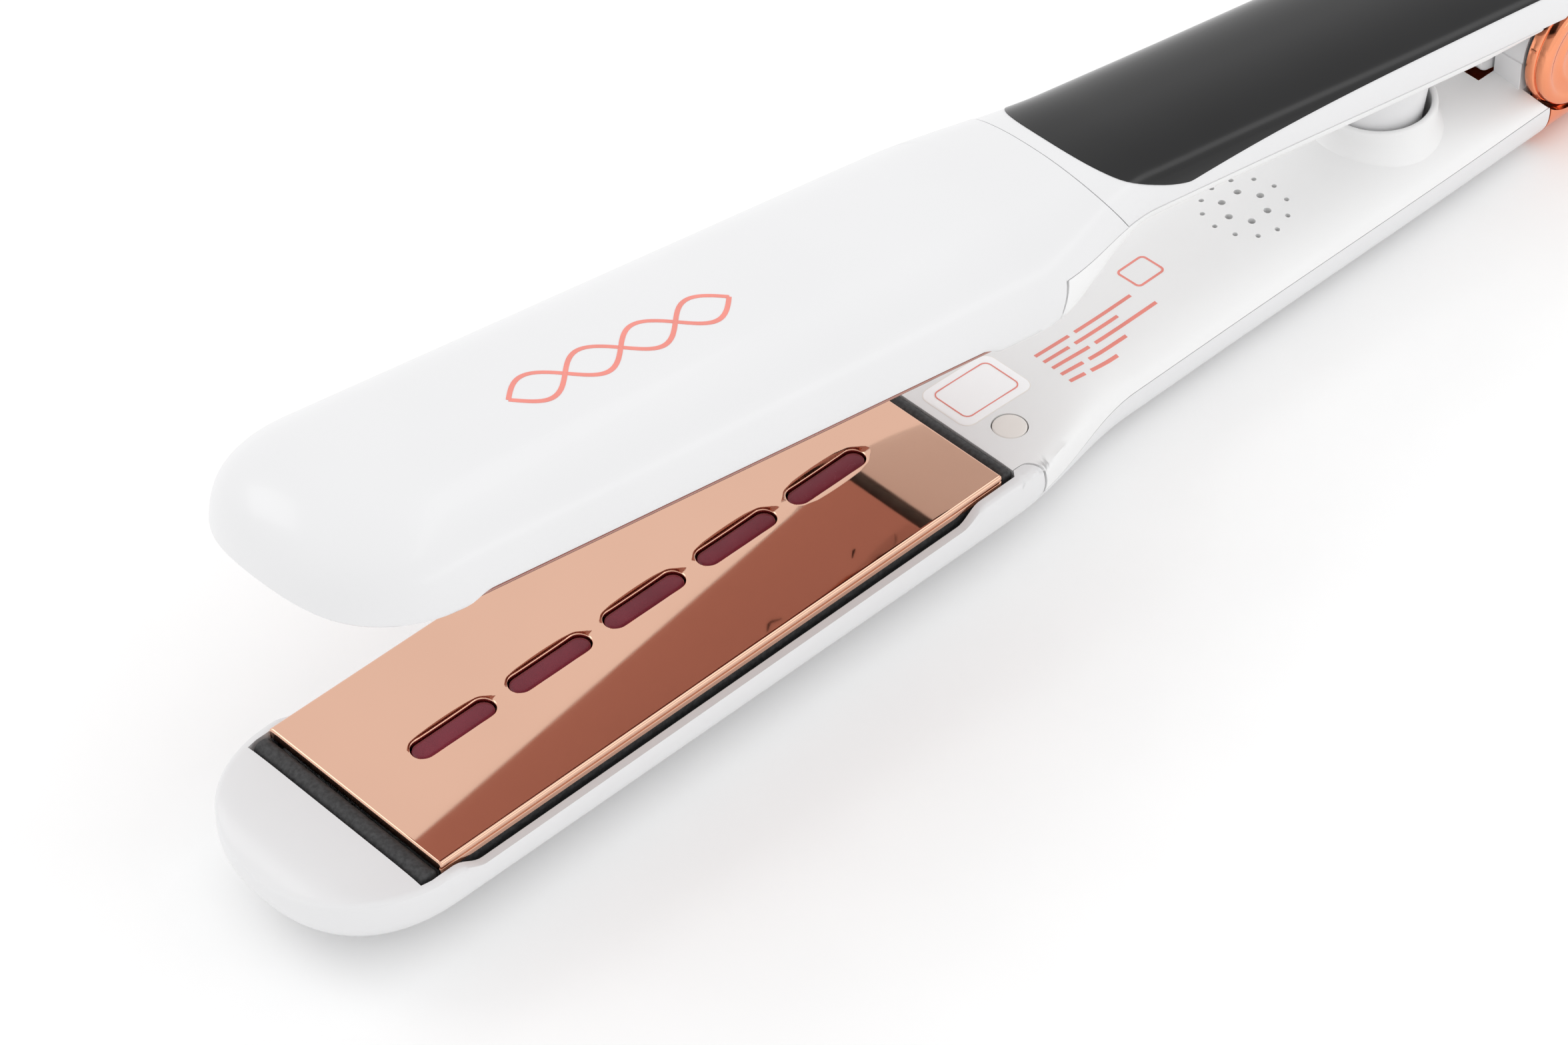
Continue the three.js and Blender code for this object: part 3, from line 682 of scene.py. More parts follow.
def upper_handle():
    join_x = 165.0
    lean = warped_rows(join_x, lambda w: split_x(w) + 0.12, np.linspace(1, 0, 16), PANEL_PROUD)
    rows = [both_sides(r) for r in lean]
    rows += [both_sides(handle_half_row(x)) for x in np.linspace(168, UPPER_END_X - 2, 42)]
    rows += rear_rows(UPPER_END_X, lambda x: both_sides(handle_half_row(x)), SPLIT_HEIGHT + 0.4)
    points, faces = rings(rows, wrap=False)
    shell = piece("upper_handle", points, faces, "upper", "white_plastic", "upper_arm", ["upper_handle_shell"])
    thicken(shell, WALL, "upper")
    knuckle_room = cutter_from(
        *block((238, HINGE_X + 11), (-KNUCKLE_HALF - 0.4, KNUCKLE_HALF + 0.4), (-10, 10.6)), "upper"
    )
    carve(shell, hinge_room("upper", KNUCKLE_HALF + 0.3), knuckle_room)
    soften(shell, 0.2)


def cover_rows(end_x):
    stations = [(x, x, 0.0) for x in (COVER_FRONT_X, 118.3, 118.9, NOTCH_START_X - 0.2)]
    notch = notch_stations()
    for i, (x, share) in enumerate(notch):
        gap = 0.22 + 0.4 * share**0.5
        middle = lerp(NOTCH_START_X - 0.2, NOTCH_X + 0.9, (i + 1) / len(notch))
        stations.append((middle, x + gap, share))
    stations += [(x, x, 1.0) for x in np.linspace(NOTCH_X + 1.6, end_x, int((end_x - NOTCH_X) / 2))]
    rows = []
    for middle, rim_x, share in stations:
        right = []
        for part in np.linspace(0, 1, 23):
            x = lerp(middle, rim_x, part**4)
            section = Section(x)
            y, w = section.at(part * (rim_arc(section, x, share) - 0.16))
            right.append((x, float(y), float(w)))
        rows.append([(x, -y, w) for x, y, w in right[:0:-1]] + right)
    return rows


def disc_recess(y):
    return rod(DISC_R + 0.2, (-3, 9), "z", (DISC_X, y, 0), 48)


def lower_cover():
    points, faces = rings(cover_rows(SHELL_REAR_X - 0.1), wrap=False)
    cover = piece("lower_cover", points, faces, "lower", "cover_plastic", "lower_arm", ["lower_inner_cover"])
    thicken(cover, WALL, "lower")
    holes = []
    for count, ring_r, hole_r in VENT_RINGS:
        for i in range(count):
            turn = 2 * math.pi * i / count
            at = (VENT_X + ring_r * math.cos(turn), ring_r * math.sin(turn), 0)
            holes.append(rod(hole_r, (0, 9), "z", at, 20))
    carve(
        cover,
        cutter_from(*merged(*holes), "lower"),
        cutter_from(*rod(WELL_OUTER_R - 0.4, (-5, 16), "z", (WELL_X, 0, 0)), "lower"),
        cutter_from(*rod(LOBE_SLOT_R, (-CHEEK_Y[0], CHEEK_Y[0]), "y", (HINGE_X, 0, 0)), "lower"),
        hinge_room("lower", CAP_ROOM_Y),
        cutter_from(*disc_recess(DISC_Y), "lower"),
    )
    soften(cover, 0.18)


def upper_cover():
    points, faces = rings(cover_rows(UPPER_COVER_REAR_X), wrap=False)
    cover = piece("upper_cover", points, faces, "upper", "cover_plastic", "upper_arm", ["upper_inner_cover"])
    thicken(cover, WALL, "upper")
    holes = [rod(BUTTON_R + 0.25, (-2, 9), "z", (x, 0, 0), 40) for x in BUTTONS.values()]
    carve(cover, cutter_from(*merged(*holes), "upper"), cutter_from(*disc_recess(-DISC_Y), "upper"))
    soften(cover, 0.18)


def spring_well():
    """Raised ring with a filleted foot that follows the cover, and the tube below it."""
    rows = []
    sides = 96
    lip = (WELL_OUTER_R - WELL_R) / 2
    for step in range(9):
        rows.append(("skirt", step / 8))
    for step in range(9):
        rows.append(("lip", math.pi * step / 8))
    rows += [("tube", 3.0), ("tube", 8.0), ("tube", WELL_FLOOR - 0.6), ("floor", 0.95), ("floor", 0.5), ("floor", 0)]
    lofted = []
    for kind, value in rows:
        row = []
        for i in range(sides):
            turn = 2 * math.pi * i / sides
            c, s = math.cos(turn), math.sin(turn)
            if kind == "skirt":
                radius = WELL_SKIRT_R - (WELL_SKIRT_R - WELL_OUTER_R) * math.sin(value * math.pi / 2)
                ease = 1 - math.cos(value * math.pi / 2)
                foot = surface_height(WELL_X + WELL_SKIRT_R * c, min(WELL_SKIRT_R, 13.6) * s) + 0.06
                # halfway up, a narrow ledge runs round the ring
                ledge = 0.35 * smoothstep(value, 0.45, 0.62) * (1 - value)
                radius -= ledge
                w = lerp(foot, WELL_RIM + lip, ease)
            elif kind == "lip":
                radius = WELL_R + lip + lip * math.cos(value)
                w = WELL_RIM + lip - lip * math.sin(value)
            elif kind == "tube":
                radius, w = WELL_R, value
            else:
                radius, w = WELL_R * value, WELL_FLOOR
            row.append((WELL_X + radius * c, radius * s, w))
        lofted.append(row)
    points, faces = rings(lofted)
    well = piece("spring_well", points, faces, "lower", "cover_plastic", "lower_arm", ["lower_inner_cover"])
    soften(well, 0.1, angle=60)


def hinge_cheeks():
    for side, ys in (("left", CHEEK_Y), ("right", (-CHEEK_Y[1], -CHEEK_Y[0]))):
        front = HINGE_X - 10.7
        outline = [(front, SPLIT_HEIGHT), (front, 0.0)]
        outline += arc((HINGE_X, 0), CHEEK_R, 180, 360, 49)
        outline += [(HINGE_X + CHEEK_R, SPLIT_HEIGHT)]
        points, faces = prism(outline, ys)
        cheek = piece(
            f"hinge_cheek_{side}", points, faces, "lower", "white_plastic", "lower_arm", ["lower_inner_cover"]
        )
        carve(cheek, cutter_from(*rod(PIN_R + 0.1, (ys[0] - 1, ys[1] + 1), "y", (HINGE_X, 0, 0)), "lower"))
        soften(cheek, 0.55, 3)


def knuckle():
    outline = [(242.0, 8.2), (242.0, 3.4), (LOBE[0] - LOBE_R, 3.4)]
    outline += arc(LOBE, LOBE_R, 180, 275, 12)
    outline += arc((HINGE_X, 0), KNUCKLE_R, 222, 400, 50)
    points, faces = prism(outline, (-KNUCKLE_HALF, KNUCKLE_HALF))
    made = piece("hinge_knuckle", points, faces, "upper", "white_plastic", "upper_arm", ["upper_inner_cover"])
    carve(made, cutter_from(*rod(4.0, (-6, 6), "y", (HINGE_X, 0, 0)), "upper"))
    soften(made, 0.5, 3)


def spring_post():
    edge = 1.1
    profile = [(0, 5.0), (POST_R, 5.0), (POST_R, POST_END + edge)]
    profile += [
        (POST_R - edge + edge * math.cos(t), POST_END + edge - edge * math.sin(t))
        for t in np.linspace(0.2, math.pi / 2, 6)
    ]
    profile += [(POST_R * 0.5, POST_END), (0, POST_END)]
    points, faces = turned(profile, "z", (POST_X, 0, 0), 80)
    piece("spring_post", points, faces, "upper", "white_plastic", "upper_arm", ["upper_inner_cover"])


def end_cap():
    rows = []
    xs = [SHELL_REAR_X + 0.25, 252.9] + list(np.linspace(254, LOWER_END_X - 2, 22))
    for x in xs:
        rows.append(ring_row(x, 1.0, FLAT_BACK))
    rows += rear_rows(LOWER_END_X, lambda x: ring_row(x, 1.0, FLAT_BACK), SWIVEL_W, 1.8)
    points, faces = rings(rows)
    cap = piece("rear_cap", points, faces, "lower", "rose_gold_plating", "lower_arm", ["lower_end_cap"])
    thicken(cap, 1.2, "lower")
    room = block((240, HINGE_X + CHEEK_R + 0.4), (-10.5, 10.5), (-20, SPLIT_HEIGHT + 0.3))
    outlet = rod(5.0, (LOWER_END_X - 6, LOWER_END_X + 5), "x", (0, 0, SWIVEL_W), 48)
    carve(
        cap,
        cutter_from(*room, "lower"),
        hinge_room("lower", CAP_ROOM_Y),
        cutter_from(*rod(KNUCKLE_CLEAR_R, (-CHEEK_Y[0], CHEEK_Y[0]), "y", (HINGE_X, 0, 0)), "lower"),
        cutter_from(*outlet, "lower"),
    )
    soften(cap, 0.15)


# ---- display panel ----
PANEL_FRONT_X = 136.9
PANEL_REAR_X = 263.0
PANEL_CORNER = 6.5
EDGE_START_X = 157  # the panel's side edge starts to come down here


def panel_edge_height(x):
    """Height of the panel's side edge."""
    return 14.1 - 3.5 * math.exp(-max(x - EDGE_START_X, 0) / 30)


def display_panel():
    columns, length_steps = 26, 60

    def panel_point(share_x, fraction):
        """Settles on the point at a share of the length and of the way from the middle to the edge."""
        w = 15.0
        x = 150.0
        for _ in range(8):
            section = Section(x)
            reach = section.length - section.arc_at_height(panel_edge_height(max(x, EDGE_START_X)))
            beside = reach * (1 - fraction)
            rounding = 0.0
            if beside < PANEL_CORNER:
                inward = PANEL_CORNER - beside
                rounding = PANEL_CORNER - math.sqrt(max(PANEL_CORNER**2 - inward**2, 0))
            front = PANEL_FRONT_X + 1.54 * max(18.4 - w, 0) ** 1.11 + rounding
            rear = PANEL_REAR_X - rounding
            x = lerp(front, rear, share_x)
            section = Section(x)
            reach = section.length - section.arc_at_height(panel_edge_height(max(x, EDGE_START_X)))
            y, w = (float(v) for v in section.at(section.length - reach * fraction))
        return x, y, w

    fractions = np.sin(np.linspace(0, math.pi / 2, columns))
    rows = []
    for share in np.linspace(0, 1, length_steps) ** 1.2:
        half_row = [panel_point(share, f) for f in fractions]
        rows.append([(x, -y, w) for x, y, w in half_row[:0:-1]] + half_row)
    points, faces = rings(rows, wrap=False)
    panel = piece("front_panel", points, faces, "upper", "black_gloss", "upper_arm", ["display_panel"])
    thicken(panel, 0.7, "upper")
    soften(panel, 0.12, 3)


# ---- heated plates ----
PLATE_EDGE_R = 0.7


def plate_profile():
    """Half section of the plate from its middle: flat face, rolled edge, then a grooved side band."""
    roll = [
        (PLATE_HALF - PLATE_EDGE_R + PLATE_EDGE_R * math.sin(t), PLATE_EDGE_R - PLATE_EDGE_R * math.cos(t))
        for t in np.linspace(0, math.pi / 2, 10)
    ]
    side = [
        (PLATE_HALF, 0.85),
        (PLATE_HALF - 0.3, 0.95),
        (PLATE_HALF - 0.34, 1.2),
        (PLATE_HALF - 0.06, 1.32),
        (PLATE_HALF, 1.45),
        (PLATE_HALF, 2.15),
        (PLATE_HALF - 0.15, 2.3),
    ]
    return roll + side


def stadium_point(turn_share, reach, radius):
    """A point on a round-ended slot, by its share of the way round, with equal steps along it."""
    straight = 2 * reach
    bend = math.pi * radius
    along = (turn_share % 1) * 2 * (straight + bend)
    if along < bend:
        t = -math.pi / 2 + along / radius
        return reach + radius * math.cos(t), radius * math.sin(t)
    along -= bend
    if along < straight:
        return reach - along, radius
    along -= straight
    if along < bend:
        t = math.pi / 2 + along / radius
        return -reach + radius * math.cos(t), radius * math.sin(t)
    along -= bend
    return -reach + along, -radius


def lip_point(x, y, reach):
    """Pushes a slot point outwards: most at the two ends, a little along the sides."""
    middle_x = clamp(x, -reach, reach)
    away = Vector((x - middle_x, y)).normalized()
    grow = 0.3 + 0.5 * (1 - (middle_x / reach) ** 2) + 1.1 * abs(away.x) ** 10
    return x + grow * away.x, y + grow * away.y


SLOT_POINTS = 96
DISH = 0.16  # depth of the dished lip round a slot
SLOT_EDGE = 0.12
PATCH_HALF = (9.55, 6.0)  # half size of the flat metal rectangle round a slot
PLATE_END_R = 0.45


def slot_patch(centre_x):
    """Plate face round one slot: the wall, the dished lip and flat metal out to a rectangle."""
    reach = SLOT_LENGTH / 2 - SLOT_WIDTH / 2
    edge = [stadium_point((i + 0.5) / SLOT_POINTS, reach, SLOT_WIDTH / 2) for i in range(SLOT_POINTS)]
    outer = [lip_point(x, y, reach) for x, y in edge]
    rows = []
    for depth in (1.25, 0.9, DISH + SLOT_EDGE):
        rows.append([(x, y, depth) for x, y in edge])
    for share, depth in ((0.06, DISH + 0.3 * SLOT_EDGE), (0.2, 0.8 * DISH), (1.0, 0.0)):
        grown = [(lerp(a[0], b[0], share), lerp(a[1], b[1], share)) for a, b in zip(edge, outer)]
        rows.append([(x, y, depth) for x, y in grown])
    for share in (0.12, 0.4, 1.0):
        row = []
        for x, y in outer:
            scale = min(PATCH_HALF[0] / max(abs(x), 1e-6), PATCH_HALF[1] / max(abs(y), 1e-6))
            row.append((lerp(x, x * scale, share), lerp(y, y * scale, share), 0.0))
        rows.append(row)
    corners = [(sx * PATCH_HALF[0], sy * PATCH_HALF[1]) for sx in (-1, 1) for sy in (-1, 1)]
    for cx, cy in corners:
        away = [math.hypot(x - cx, y - cy) for x, y, _ in rows[-1]]
        rows[-1][away.index(min(away))] = (cx, cy, 0.0)
    return rings([[(x + centre_x, y, w) for x, y, w in row] for row in rows])


def plate(arm):
    body = f"{arm}_plate_float"
    profile = plate_profile()
    shapes = [slot_patch(x) for x in SLOT_XS]
    patch_half, edge_y = PATCH_HALF
    first, last = SLOT_XS[0] - patch_half, SLOT_XS[-1] + patch_half
    front, rear = PLATE_END_R, PLATE_LENGTH - PLATE_END_R
    # plain face in front of and behind the slots, and the long side bands
    for ends in ((front, first), (last, rear)):
        shapes.append(rings([[(x, y, 0.0) for y in (-edge_y, 0.0, edge_y)] for x in ends], wrap=False))
    xs = [front] + list(np.linspace(first, last, 11)) + [rear]
    for side in (1, -1):
        band = [(edge_y, 0.0), (2 * edge_y, 0.0)] + profile
        shapes.append(rings([[(x, side * y, w) for y, w in band] for x in xs], wrap=False))
    # rolled front and rear edges
    flat = [(step * edge_y, 0) for step in (-2, -1, 0, 1, 2)]
    whole = [(-y, w) for y, w in profile[::-1]] + flat + profile
    for x_edge, way in ((front, -1), (rear, 1)):
        rows = []
        for t in np.linspace(0, math.pi / 2, 7):
            x = x_edge + way * PLATE_END_R * math.sin(t)
            sink = PLATE_END_R * (1 - math.cos(t))
            narrow = 1 - sink / PLATE_HALF * 0.6
            rows.append([(x, y * narrow, max(w, sink) if w < 1 else w) for y, w in whole])
        rows.append([(rows[-1][0][0], y * 0.975, max(w, 1.6)) for y, w in whole])
        shapes.append(rings(rows, wrap=False))
    points, faces = merged(*shapes)
    # the upper plate takes the darker copy of the copper finish, as painted shade
    look = "copper_plate" if arm == "lower" else "copper_plate_painted_shade"
    made = piece(f"{arm}_hot_plate", points, faces, arm, look, body, [f"{arm}_plate"], sharp=32)
    weighted = made.modifiers.new("normals", "WEIGHTED_NORMAL")
    weighted.keep_sharp = True
    weighted.weight = 90
    # a black strip along each side of the plate, behind its side band: painted shade that darkens the gap between
    # the plate and the rail
    side = PLATE_HALF - 0.25
    outline = [(-side, 4.6), (-side, 2.1), (-side + 0.9, 2.1), (-side + 0.9, 4.6)]
    shapes = []
    for way in (1, -1):
        rows = [[(x, way * y, w) for y, w in outline] for x in np.linspace(0.6, PLATE_LENGTH - 0.6, 12)]
        shapes.append(rings(rows, caps=(True, True)))
    points, faces = merged(*shapes)
    piece(f"{arm}_plate_gap_shade", points, faces, arm, "black_rubber", body)


def lens_pads(arm):
    shapes = []
    reach = (SLOT_LENGTH - SLOT_WIDTH) / 2
    for centre_x in SLOT_XS:
        rows = []
        for inset, w in ((0.22, 2.2), (0.22, 0.78), (0.27, 0.66), (0.4, 0.6), (0.9, 0.56), (1.9, 0.55)):
            radius = SLOT_WIDTH / 2 - inset
            edge = [stadium_point((i + 0.5) / 64, reach, radius) for i in range(64)]
            rows.append([(x + centre_x, y, w) for x, y in edge])
        shapes.append(rings(rows, caps=(True, True)))
    points, faces = merged(*shapes)
    piece(f"{arm}_lens_pads", points, faces, arm, "lens_red", f"{arm}_plate_float", [f"{arm}_infrared_lens"])


GASKET_HALF = 18.6


def gasket(arm, end, from_x, to_x):
    """Round-topped rubber strip whose top and edges wander a little, as cut foam rubber does."""
    rows = []
    radius = (to_x - from_x) / 2
    middle = (from_x + to_x) / 2
    rng = np.random.default_rng(7 if end == "front" else 11)
    wander = np.convolve(rng.normal(0, 1, 110), np.ones(7) / 7, "same")
    inner = np.linspace(-GASKET_HALF + 0.25, GASKET_HALF - 0.25, 90)
    ys = np.concatenate([[-GASKET_HALF], inner, [GASKET_HALF]])
    for i, y in enumerate(ys):
        tuck = 0.25 if i in (0, len(ys) - 1) else 0.0
        lift = 0.06 * wander[i + 4]
        row = [(from_x + tuck, y, 4.4), (from_x + tuck, y, 2.6)]
        for t in np.linspace(math.pi, 2 * math.pi, 13):
            x = middle + (radius - tuck) * math.cos(t) * (1 + 0.25 * lift)
            row.append((x, y, 0.62 + radius + (radius * 0.92 - tuck) * math.sin(t) + lift))
        row += [(to_x - tuck, y, 2.6), (to_x - tuck, y, 4.4)]
        rows.append(row)
    points, faces = rings(rows, caps=(True, True))
    node = f"{arm}_{end}_gasket"
    piece(f"{arm}_{end}_seal", points, faces, arm, "black_rubber", f"{arm}_arm", [node], sharp=70)


def cover_disc(arm, y):
    top = surface_height(DISC_X, y)
    profile = [(0, top + 1.4), (DISC_R, top + 1.4), (DISC_R, top + 0.2), (DISC_R - 0.12, top + 0.06)]
    profile += [(DISC_R - 0.35, top), (1.0, top - 0.02), (0, top - 0.02)]
    points, faces = turned(profile, "z", (DISC_X, y, 0), 64)
    piece(f"{arm}_screw_plug", points, faces, arm, "warm_grey_plastic", f"{arm}_arm", [f"{arm}_cover_disc"])


# ---- print and label, lying on the surface ----
def patch_on(outline, side, lift, thickness):
    """A thin sheet inside a closed outline, following the arm's surface."""
    middle = np.mean(np.array(outline), axis=0)
    outward = -1 if side == "inner" else 1
    rows = []

    def height(x, y, above):
        return surface_height(x, y, side) + outward * above

    rows.append([(x, y, height(x, y, lift - thickness)) for x, y in outline])
    for share in (0.0, 0.03, 0.2, 0.45, 0.7, 0.98):
        ring = [(lerp(x, middle[0], share), lerp(y, middle[1], share)) for x, y in outline]
        drop = 0.35 * thickness if share == 0 else 0.0
        rows.append([(x, y, height(x, y, lift - drop)) for x, y in ring])
    return rings(rows, caps=(False, True))


def ribbon_on(route, width, side, lift=0.05, thickness=0.05):
    """A printed line of the given width along a route on the arm's surface."""
    route = np.array(route, float)
    along = np.gradient(route, axis=0)
    along /= np.linalg.norm(along, axis=1)[:, None]
    across = np.stack([-along[:, 1], along[:, 0]], axis=1)
    outward = -1 if side == "inner" else 1
    rows = []
    for point, normal in zip(route, across):
        row = []
        for share, above in ((-0.5, lift - thickness), (-0.5, lift), (0.5, lift), (0.5, lift - thickness)):
            x, y = point + normal * width * share
            row.append((float(x), float(y), surface_height(x, y, side) + outward * above))
        rows.append(row)
    return rings(rows, caps=(True, True))


def rounded_box(x0, x1, y0, y1, radius, steps=8):
    points = []
    corners = [(x1, y1, 0), (x0, y1, 90), (x0, y0, 180), (x1, y0, 270)]
    for cx, cy, start in corners:
        mx = cx - radius if start in (0, 270) else cx + radius
        my = cy - radius if start in (0, 90) else cy + radius
        points += arc((mx, my), radius, start, start + 90, steps)
    return points


def label():
    """A blank sticker with a thin printed border, and the shade line round it."""
    outline = rounded_box(119.6, 134.8, -3.8, 6.9, 1.9)
    dense = []
    # points close enough together to follow the curved cover
    for (ax, ay), (bx, by) in zip(outline, outline[1:] + outline[:1]):
        count = max(int(math.hypot(bx - ax, by - ay) / 0.8), 1)
        dense += [(lerp(ax, bx, i / count), lerp(ay, by, i / count)) for i in range(count)]
    edge = dense + dense[:1]
    shade, shade_faces = ribbon_on(edge, 0.3, "inner", 0.05, 0.06)
    piece("sticker_edge", shade, shade_faces, "lower", "warm_grey_plastic", "lower_arm")
    points, faces = patch_on(dense, "inner", 0.14, 0.2)
    piece("blank_sticker", points, faces, "lower", "paper", "lower_arm", ["blank_label"])
    border = rounded_box(121.2, 133.2, -2.3, 5.4, 1.2)
    border = border + border[:1]
    points, faces = ribbon_on(border, 0.22, "inner", 0.2, 0.06)
    piece("sticker_border", points, faces, "lower", "pink_print", "lower_arm")


def prints():
    """Generic printed motifs: two crossing waves on the barrel and plain bars on the lower cover."""
    waves = []
    start, end, middle_y, swing = 25, 68, -2.2, 3.1
    for phase in (0, math.pi):
        xs = np.linspace(start, end, 140)
        turns = [(x - start) / (end - start) * 4 * math.pi + phase for x in xs]
        route = [(x, middle_y + swing * math.sin(turn)) for x, turn in zip(xs, turns)]
        waves.append(ribbon_on(route, 0.75, "back"))
    points, faces = merged(*waves)
    piece("barrel_motif", points, faces, "upper", "pink_print", "upper_arm")
    bars = []
    lengths = [22.0, 17.0, 24.0, 15.0, 11.0]
    for i, length in enumerate(lengths):
        y = 2.0 + 1.9 * i
        start = 140.0
        cut = start + length * 0.38
        for x0, x1 in ((start, cut - 0.7), (cut + 0.7, start + length)):
            bars.append(ribbon_on([(x, y) for x in np.linspace(x0, x1, 24)], 0.62, "inner"))
    frame_line = rounded_box(164.5, 170.5, -3.4, 1.6, 0.8)
    bars.append(ribbon_on(frame_line + frame_line[:1], 0.4, "inner"))
    points, faces = merged(*bars)
    piece("cover_print", points, faces, "lower", "pink_print", "lower_arm")


# ---- hinge, buttons, outlet, spring ----
def hinge_caps():
    """Plated caps with plain concentric rings, and the rubber washer behind each."""
    for side, name in ((1, "left"), (-1, "right")):
        steps = [
            (0, 12.8), (6, 12.8), (CAP_R - 0.15, 11.1), (CAP_R, 11.25), (CAP_R, 12.75), (CAP_R - 0.12, 12.9),
            (CAP_R - 0.42, 12.95), (CAP_R - 0.46, 13.1), (CAP_R - 0.42, 13.25), (CAP_R - 0.4, 14.3),
            (CAP_R - 0.55, 14.65), (CAP_R - 0.95, 14.95), (CAP_R - 1.4, CAP_Y[1]),
            (CAP_R - 2.3, CAP_Y[1] - 0.02),
            (CAP_R - 2.55, 14.9), (CAP_R - 3.1, 14.82), (6.6, 14.8), (6.3, 14.95), (5.9, 15.0), (5.5, 14.95),
            (5.2, 14.8), (2.6, 14.8), (2.3, 14.95), (1.2, 15.02), (0, 15.03),
        ]
        points, faces = turned([(r, side * y) for r, y in steps], "y", (HINGE_X, 0, 0), 96)
        piece(
            f"hinge_cover_{name}", points, faces, "lower", "rose_gold_plating", "lower_arm",
            [f"hinge_cap_{name}"], sharp=50,
        )
        ring = [
            (3.0, 10.3), (10.0, 10.3), (10.2, 10.45), (10.2, 10.75), (10.0, 10.9), (3.0, 10.9), (3.0, 10.3)
        ]
        points, faces = turned([(r, side * y) for r, y in ring], "y", (HINGE_X, 0, 0), 72)
        piece(
            f"hinge_ring_{name}", points, faces, "lower", "dark_gap", "lower_arm", [f"hinge_washer_{name}"]
        )
        # small locating ridges on the rim of the cap
        ridges = []
        for i in range(6):
            turn = math.radians(20 + 60 * i)
            c, s = math.cos(turn), math.sin(turn)
            at = (HINGE_X + (CAP_R - 0.1) * c, 0, (CAP_R - 0.1) * s)
            ridges.append(rod(0.28, (side * 11.5, side * 12.6), "y", at, 12))
        points, faces = merged(*ridges)
        piece(f"hinge_ridges_{name}", points, faces, "lower", "rose_gold_plating", "lower_arm")


def buttons():
    for name, x in BUTTONS.items():
        r = BUTTON_R
        profile = [(0, 6.4), (4.4, 6.4), (4.4, 5.7), (r, 5.7), (r, 2.45), (r - 0.12, 2.2), (r - 0.4, 2.05)]
        profile += [(r - 0.8, 2.02), (1.5, 2.14), (0, 2.16)]
        points, faces = turned(profile, "z", (x, 0, 0), 56)
        piece(f"{name}_cap", points, faces, "upper", "white_plastic", f"{name}_key", [f"{name}_button"])
        bar = block((x - 1.4, x + 1.4), (-0.22, 0.22), (2.02, 2.3))
        post = block((x - 0.22, x + 0.22), (-1.4, 1.4), (2.02, 2.3))
        ring = turned([(1.15, 2.3), (1.15, 2.02), (1.5, 2.02), (1.5, 2.3), (1.15, 2.3)], "z", (x, 0, 0), 40)
        mark = {"power": ring, "minus": bar, "plus": merged(bar, post)}[name]
        made = piece(f"{name}_mark", *mark, "upper", "pink_print", f"{name}_key")
        soften(made, 0.05, 2)


def cord_outlet():
    """The turning sleeve that the cord comes out of, with four grooves."""
    profile = [(3.4, 270.6), (5.6, 270.6), (5.6, 271.6), (4.7, 271.6), (4.7, 274.3), (6.2, 274.3)]
    profile += [(6.4, 274.5), (6.4, 276.3), (6.2, 276.7), (5.9, 277.2)]
    for i in range(4):
        x = 278.2 + 1.9 * i
        r = 5.85 - 0.25 * i
        profile += [(r, x), (r - 0.35, x + 0.25), (r - 0.35, x + 0.75), (r - 0.05, x + 1.0)]
    profile += [(4.9, 285.5), (4.6, 286.0), (3.7, 286.0), (3.4, 285.6), (3.4, 270.6)]
    points, faces = turned(profile, "x", (0, 0, SWIVEL_W), 64)
    piece("cord_swivel_sleeve", points, faces, "lower", "white_plastic", "cord_swivel", ["cord_swivel"])


def return_spring():
    """Coils between the well's floor and the post; they close up as the arms are squeezed."""
    coils, radius, wire = 5.5, 5.4, 0.6
    low_w, high_w = WELL_FLOOR - 0.3 - wire, 3.2
    steps, sides = 260, 10
    rows = []
    for i in range(steps + 1):
        share = i / steps
        ease = clamp((share - 0.09) / 0.82)
        turn = 2 * math.pi * coils * share
        centre = np.array([POST_X - 0.9, 0, lerp(low_w, high_w, ease)])
        outward = np.array([math.cos(turn), math.sin(turn), 0])
        row = []
        for k in range(sides):
            a = 2 * math.pi * k / sides
            along = outward * (radius + wire * math.cos(a))
            row.append(tuple(centre + along + np.array([0, 0, wire * math.sin(a)])))
        rows.append(row)
    points, faces = rings(rows, caps=(True, True))
    spring = piece("coil_spring", points, faces, "lower", "steel", "lower_arm", ["return_spring"])
    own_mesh(spring)


CUSHION_XS = {"front": 25, "rear": 90}
CUSHION_FRONT = 7.3
CUSHION_RIBS = 4


def float_cushion(arm, end):
    """A ribbed silicone foot between the plate carrier and the shell; it shortens as the plate sinks."""
    x = CUSHION_XS[end]
    wall = 2.0 if arm == "lower" else 2.4
    front, back = CUSHION_FRONT, back_height(x) - wall - 0.3
    profile = [(0, front), (2.2, front), (2.4, front + 0.25)]
    for i in range(33):
        share = i / 32
        radius = 2.55 + 0.4 * math.cos(2 * math.pi * CUSHION_RIBS * share)
        profile.append((radius, lerp(front + 0.5, back - 0.5, share)))
    profile += [(2.4, back - 0.25), (2.2, back), (0, back)]
    points, faces = turned(profile, "z", (x, 0, 0), 32)
    node = f"{arm}_float_cushion_{end}"
    made = piece(f"{arm}_{end}_cushion", points, faces, arm, "silicone", f"{arm}_arm", [node], sharp=60)
    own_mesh(made)


# ---- build ----
lower_shell()
lower_cover()
spring_well()
hinge_cheeks()
end_cap()
upper_barrel()
upper_handle()
upper_cover()
knuckle()
spring_post()
display_panel()
for arm, disc_y in (("lower", DISC_Y), ("upper", -DISC_Y)):
    plate(arm)
    lens_pads(arm)
    gasket(arm, "front", -3.55, -0.25)
    gasket(arm, "rear", PLATE_LENGTH + 0.25, 117.7)
    cover_disc(arm, disc_y)
    float_cushion(arm, "front")
    float_cushion(arm, "rear")
label()
prints()
hinge_caps()
buttons()
cord_outlet()
return_spring()

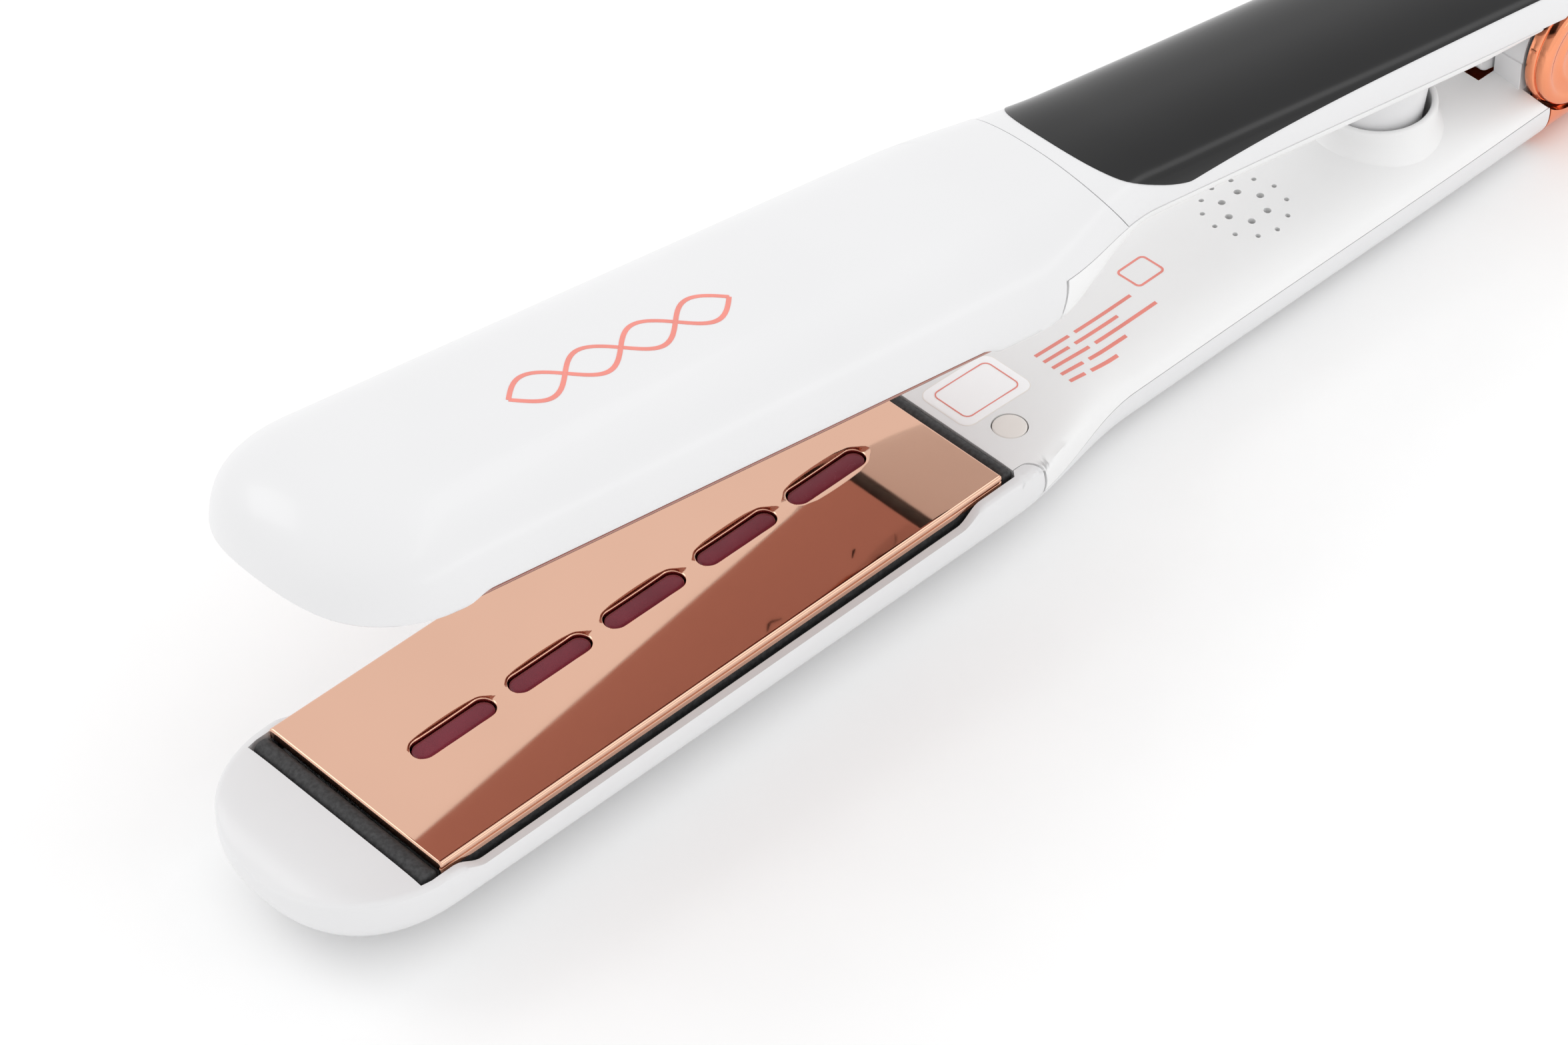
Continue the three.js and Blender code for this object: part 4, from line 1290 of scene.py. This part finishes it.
# the CAD nodes that stay in view keep their shape and take the finish of their slot
NODE_LOOKS = {
    "heater_left": "ceramic", "heater_right": "ceramic", "thermistor": "ceramic",
    "plate_carrier": "heat_plastic", "cover_screw": "steel",
    "heater_lead_left": "wire_sleeve", "heater_lead_right": "wire_sleeve",
}
SINGLE_LOOKS = {
    "hinge_pin": "steel", "thermal_fuse": "steel", "knuckle_bush": "bronze",
    "control_board": "board_green", "display_module": "black_rubber",
    "power_lead_live": "black_rubber", "power_lead_neutral": "wire_sleeve",
}
for name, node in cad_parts.items():
    look = SINGLE_LOOKS.get(name) or NODE_LOOKS.get(name.split("_", 1)[1])
    if look:
        node.data.materials.clear()
        node.data.materials.append(LOOKS[look])


# ---- floor, light and camera ----
def floor():
    size = 6.0
    corners = [(-size, -size, 0), (size, -size, 0), (size, size, 0), (-size, size, 0)]
    mesh = bpy.data.meshes.new("floor")
    mesh.from_pydata(corners, [], [(0, 1, 2, 3)])
    made = bpy.data.objects.new("floor", mesh)
    bpy.context.scene.collection.objects.link(made)
    table = finish("white table", linear(250, 250, 250), 0.9, tint=0.004, bump=0.02, specular=0.1)
    mesh.materials.append(table)


def area_light(name, place, target, size, power):
    data = bpy.data.lights.new(name, "AREA")
    data.shape = "RECTANGLE"
    data.size, data.size_y = size
    data.energy = power
    made = bpy.data.objects.new(name, data)
    made.location = place
    made.rotation_mode = "QUATERNION"
    made.rotation_quaternion = (Vector(target) - Vector(place)).to_track_quat("-Z", "Y")
    bpy.context.scene.collection.objects.link(made)


def studio():
    world = bpy.data.worlds.new("studio")
    world.use_nodes = True
    background = world.node_tree.nodes["Background"]
    background.inputs["Color"].default_value = (1.0, 1.0, 1.0, 1)
    background.inputs["Strength"].default_value = 1.03
    bpy.context.scene.world = world
    area_light("key", (-0.45, 1.0, 1.1), (0, 0, 0), (0.7, 0.7), 2.2)
    area_light("side strip", (0.75, -1.15, 0.42), (0.05, 0, 0.05), (1.6, 0.2), 1.4)
    area_light("top strip", (0.7, -0.35, 1.15), (0.05, 0, 0.05), (1.5, 0.14), 0.9)
    bpy.context.scene.view_settings.view_transform = "Standard"


def camera():
    """The viewing angle: from the front left, looking down."""
    data = bpy.data.cameras.new("camera")
    data.lens = 118.98
    data.sensor_width = 36
    data.clip_start = 0.01
    made = bpy.data.objects.new("camera", data)
    right = Vector((0.717499, -0.696494, -0.009582))
    up = Vector((0.486113, 0.490827, 0.723037))
    back = Vector((-0.498888, -0.523436, 0.690742))
    turn = Matrix((right, up, back)).transposed()
    made.matrix_world = Matrix.Translation((-0.443404, -0.415619, 0.562981)) @ turn.to_4x4()
    bpy.context.scene.collection.objects.link(made)
    bpy.context.scene.camera = made


floor()
studio()
camera()
